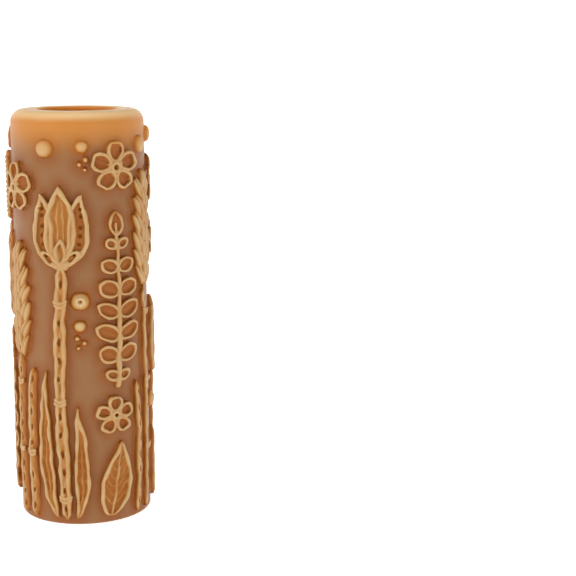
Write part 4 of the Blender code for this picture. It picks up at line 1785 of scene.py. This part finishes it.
    @classmethod
    def _range(cls, tree: Tree, value: Socket, band: Pair, to_band: Pair) -> Socket:
        """Maps a value from one range to another, smoothly and clamped."""
        inputs = {0: value, 1: band[0], 2: band[1], 3: to_band[0], 4: to_band[1]}
        return cls._node(tree, "ShaderNodeMapRange", inputs, interpolation_type="SMOOTHSTEP").outputs[0]

    @classmethod
    def _sum(cls, tree: Tree, one: Socket, two: Socket) -> Socket:
        """Adds two values."""
        return cls._node(tree, "ShaderNodeMath", {0: one, 1: two}, operation="ADD").outputs[0]

    @classmethod
    def _noise(cls, tree: Tree, place: Socket, scale: float, detail: float) -> Socket:
        """Soft noise over the piece."""
        inputs = {"Vector": place, "Scale": scale, "Detail": detail}
        return cls._node(tree, "ShaderNodeTexNoise", inputs).outputs[0]

    @classmethod
    def _bump(
        cls, tree: Tree, height: Socket, strength: float, distance: float, under: Socket | None = None
    ) -> Socket:
        """Builds a bump.

        Args:
            tree: the material's nodes.
            height: what it is read from.
            strength: how much of it shows.
            distance: how deep it is.
            under: the bump that it lies over, where there is one.

        Returns:
            The normal's socket.
        """
        inputs = {"Height": height, "Strength": strength, "Distance": distance}
        if under:
            inputs["Normal"] = under
        return cls._node(tree, "ShaderNodeBump", inputs).outputs["Normal"]

    @classmethod
    def _mix(cls, tree: Tree, factor: Socket, one: Socket, two: Triple) -> Socket:
        """Mixes a colour towards another.

        Args:
            tree: the material's nodes.
            factor: how far towards the second colour.
            one: the first colour.
            two: the second colour, linear.

        Returns:
            The mixed colour's socket.
        """
        node = cls._node(tree, "ShaderNodeMix", {"Factor": factor}, data_type="RGBA")
        first, second = (socket for socket in node.inputs if socket.type == "RGBA")
        tree.links.new(one, first)
        second.default_value = (*two, 1.0)
        return next(socket for socket in node.outputs if socket.type == "RGBA")


# The tube: painted shade beside the raised forms at its foot and hollow stops, over the resin's own colour
TUBE_RESIN = Resin(
    name="tube_resin_cast",
    foot=(0.255, 0.085, 0.017),
    painted_hollow_shade=(0.255, 0.085, 0.017),
    body=(0.262, 0.119, 0.042),
    crest=(0.42, 0.22, 0.09),
    rise_light_share=0.0,
    rise_light_offset=0.0,
)
# The relief: painted shade at the feet and in the hollows, a painted highlight on the crests, and painted
# light by height that lightens tops and darkens feet
RELIEF_RESIN = Resin(
    name="relief_resin_cast",
    foot=(0.275, 0.089, 0.016),
    painted_hollow_shade=(0.275, 0.066, 0.001),
    body=(0.355, 0.125, 0.009),
    crest=(0.57, 0.42, 0.21),
    rise_light_share=0.56,
    rise_light_offset=-0.37,
)


@dataclass
class Studio:
    """A pale floor, soft light from the upper left and the photograph's camera.

    Each light has a name, a place, the length of its side in metres and its power in watts.
    """

    camera_place: Triple = (0.0, -0.355, 0.1205)
    camera_pitch: float = math.radians(10.44)
    camera_yaw: float = math.radians(8.27)
    lens: float = 90.2
    sensor: float = 36.0
    near: float = 0.01
    floor_radius: float = 3.0
    floor_sides: int = 64
    wall_height: float = 1.0
    floor_tone: float = 0.85
    floor_roughness: float = 0.9
    floor_specular: float = 0.1
    floor_glow: float = 0.80
    world_strength: float = 0.25
    lights: tuple[tuple[str, Triple, float, float], ...] = (
        ("key", (-0.73, -0.32, 0.62), 0.44, 2.65),
        ("top", (0.0, -0.10, 1.00), 0.50, 2.75),
        ("fill", (0.50, -0.75, 0.20), 0.60, 0.8),
    )

    def build(self) -> None:
        """Sets up the floor, the light and the camera."""
        self._floor()
        for light in self.lights:
            self._light(*light)
        world = bpy.data.worlds.new("studio")
        world.use_nodes = True
        background = world.node_tree.nodes["Background"]
        background.inputs["Color"].default_value = WHITE
        background.inputs["Strength"].default_value = self.world_strength
        bpy.context.scene.world = world
        bpy.context.scene.view_settings.view_transform = "Standard"
        camera = bpy.data.cameras.new("camera")
        camera.lens = self.lens
        camera.sensor_width = self.sensor
        camera.clip_start = self.near
        obj = bpy.data.objects.new("camera", camera)
        obj.location = self.camera_place
        obj.rotation_euler = (math.pi / 2 - self.camera_pitch, 0.0, -self.camera_yaw)
        bpy.context.scene.collection.objects.link(obj)
        bpy.context.scene.camera = obj

    def _floor(self) -> None:
        """The pale floor that the roller stands on, with a low pale wall far round it."""
        sides, radius = self.floor_sides, self.floor_radius
        bpy.ops.mesh.primitive_circle_add(vertices=sides, radius=radius, fill_type="NGON")
        floor = bpy.context.object
        floor.name = "floor"
        Bench.open()
        bpy.ops.mesh.region_to_loop()
        bpy.ops.mesh.extrude_edges_move(TRANSFORM_OT_translate={"value": (0.0, 0.0, self.wall_height)})
        Bench.close()
        material = bpy.data.materials.new("pale_floor")
        material.use_nodes = True
        shader = material.node_tree.nodes["Principled BSDF"]
        shader.inputs["Base Color"].default_value = (*(self.floor_tone,) * 3, 1.0)
        shader.inputs["Roughness"].default_value = self.floor_roughness
        shader.inputs["Specular IOR Level"].default_value = self.floor_specular
        shader.inputs["Emission Color"].default_value = WHITE
        shader.inputs["Emission Strength"].default_value = self.floor_glow
        floor.data.materials.append(material)

    @staticmethod
    def _light(name: str, place: Triple, size: float, power: float) -> None:
        """Adds a square soft light that looks at the roller's middle.

        Args:
            name: its name.
            place: where it stands, in metres.
            size: the length of its side.
            power: its power in watts.
        """
        data = bpy.data.lights.new(name, "AREA")
        data.size = size
        data.energy = power
        obj = bpy.data.objects.new(name, data)
        obj.location = place
        aim = Vector((0.0, 0.0, TUBE_LENGTH / 2)) - obj.location
        obj.rotation_euler = aim.to_track_quat("-Z", "Y").to_euler()
        bpy.context.scene.collection.objects.link(obj)


def dress(piece: Object, node: str, material: bpy.types.Material) -> None:
    """Gives a piece its finish and ties it to the frame in place of its CAD node.

    Args:
        piece: the finished piece.
        node: the CAD node that it stands for.
        material: that finish.
    """
    piece.data.materials.clear()
    piece.data.materials.append(material)
    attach(piece, "root")
    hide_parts(node)
    log.info("%s stands for %s: %d faces", piece.name, node, len(piece.data.polygons))


def main() -> None:
    """Builds every piece, dresses it and sets up the studio."""
    logging.basicConfig(level=logging.INFO, format="%(name)s: %(message)s")
    tube = Tube()
    body = tube.build()
    made = Tulips().build() + Barley().build() + Reeds().build() + Ferns().build()
    made += BroadLeaves().build() + Grasses().build() + Berries().build()
    for size in ("large", "small"):
        nodes = sorted(node for node in frame["nodes"] if node.startswith(f"{size}_blossom"))
        made += Blossoms(tuple(nodes + ["reed_blossom"] * (size == "small"))).build()
    tube.shade_beside(body, [piece for piece, _ in made])
    dress(body, TUBE_NODE, TUBE_RESIN.make())
    relief = RELIEF_RESIN.make()
    for piece, node in made:
        dress(piece, node, relief)
    Studio().build()


if __name__ == "__main__":
    main()
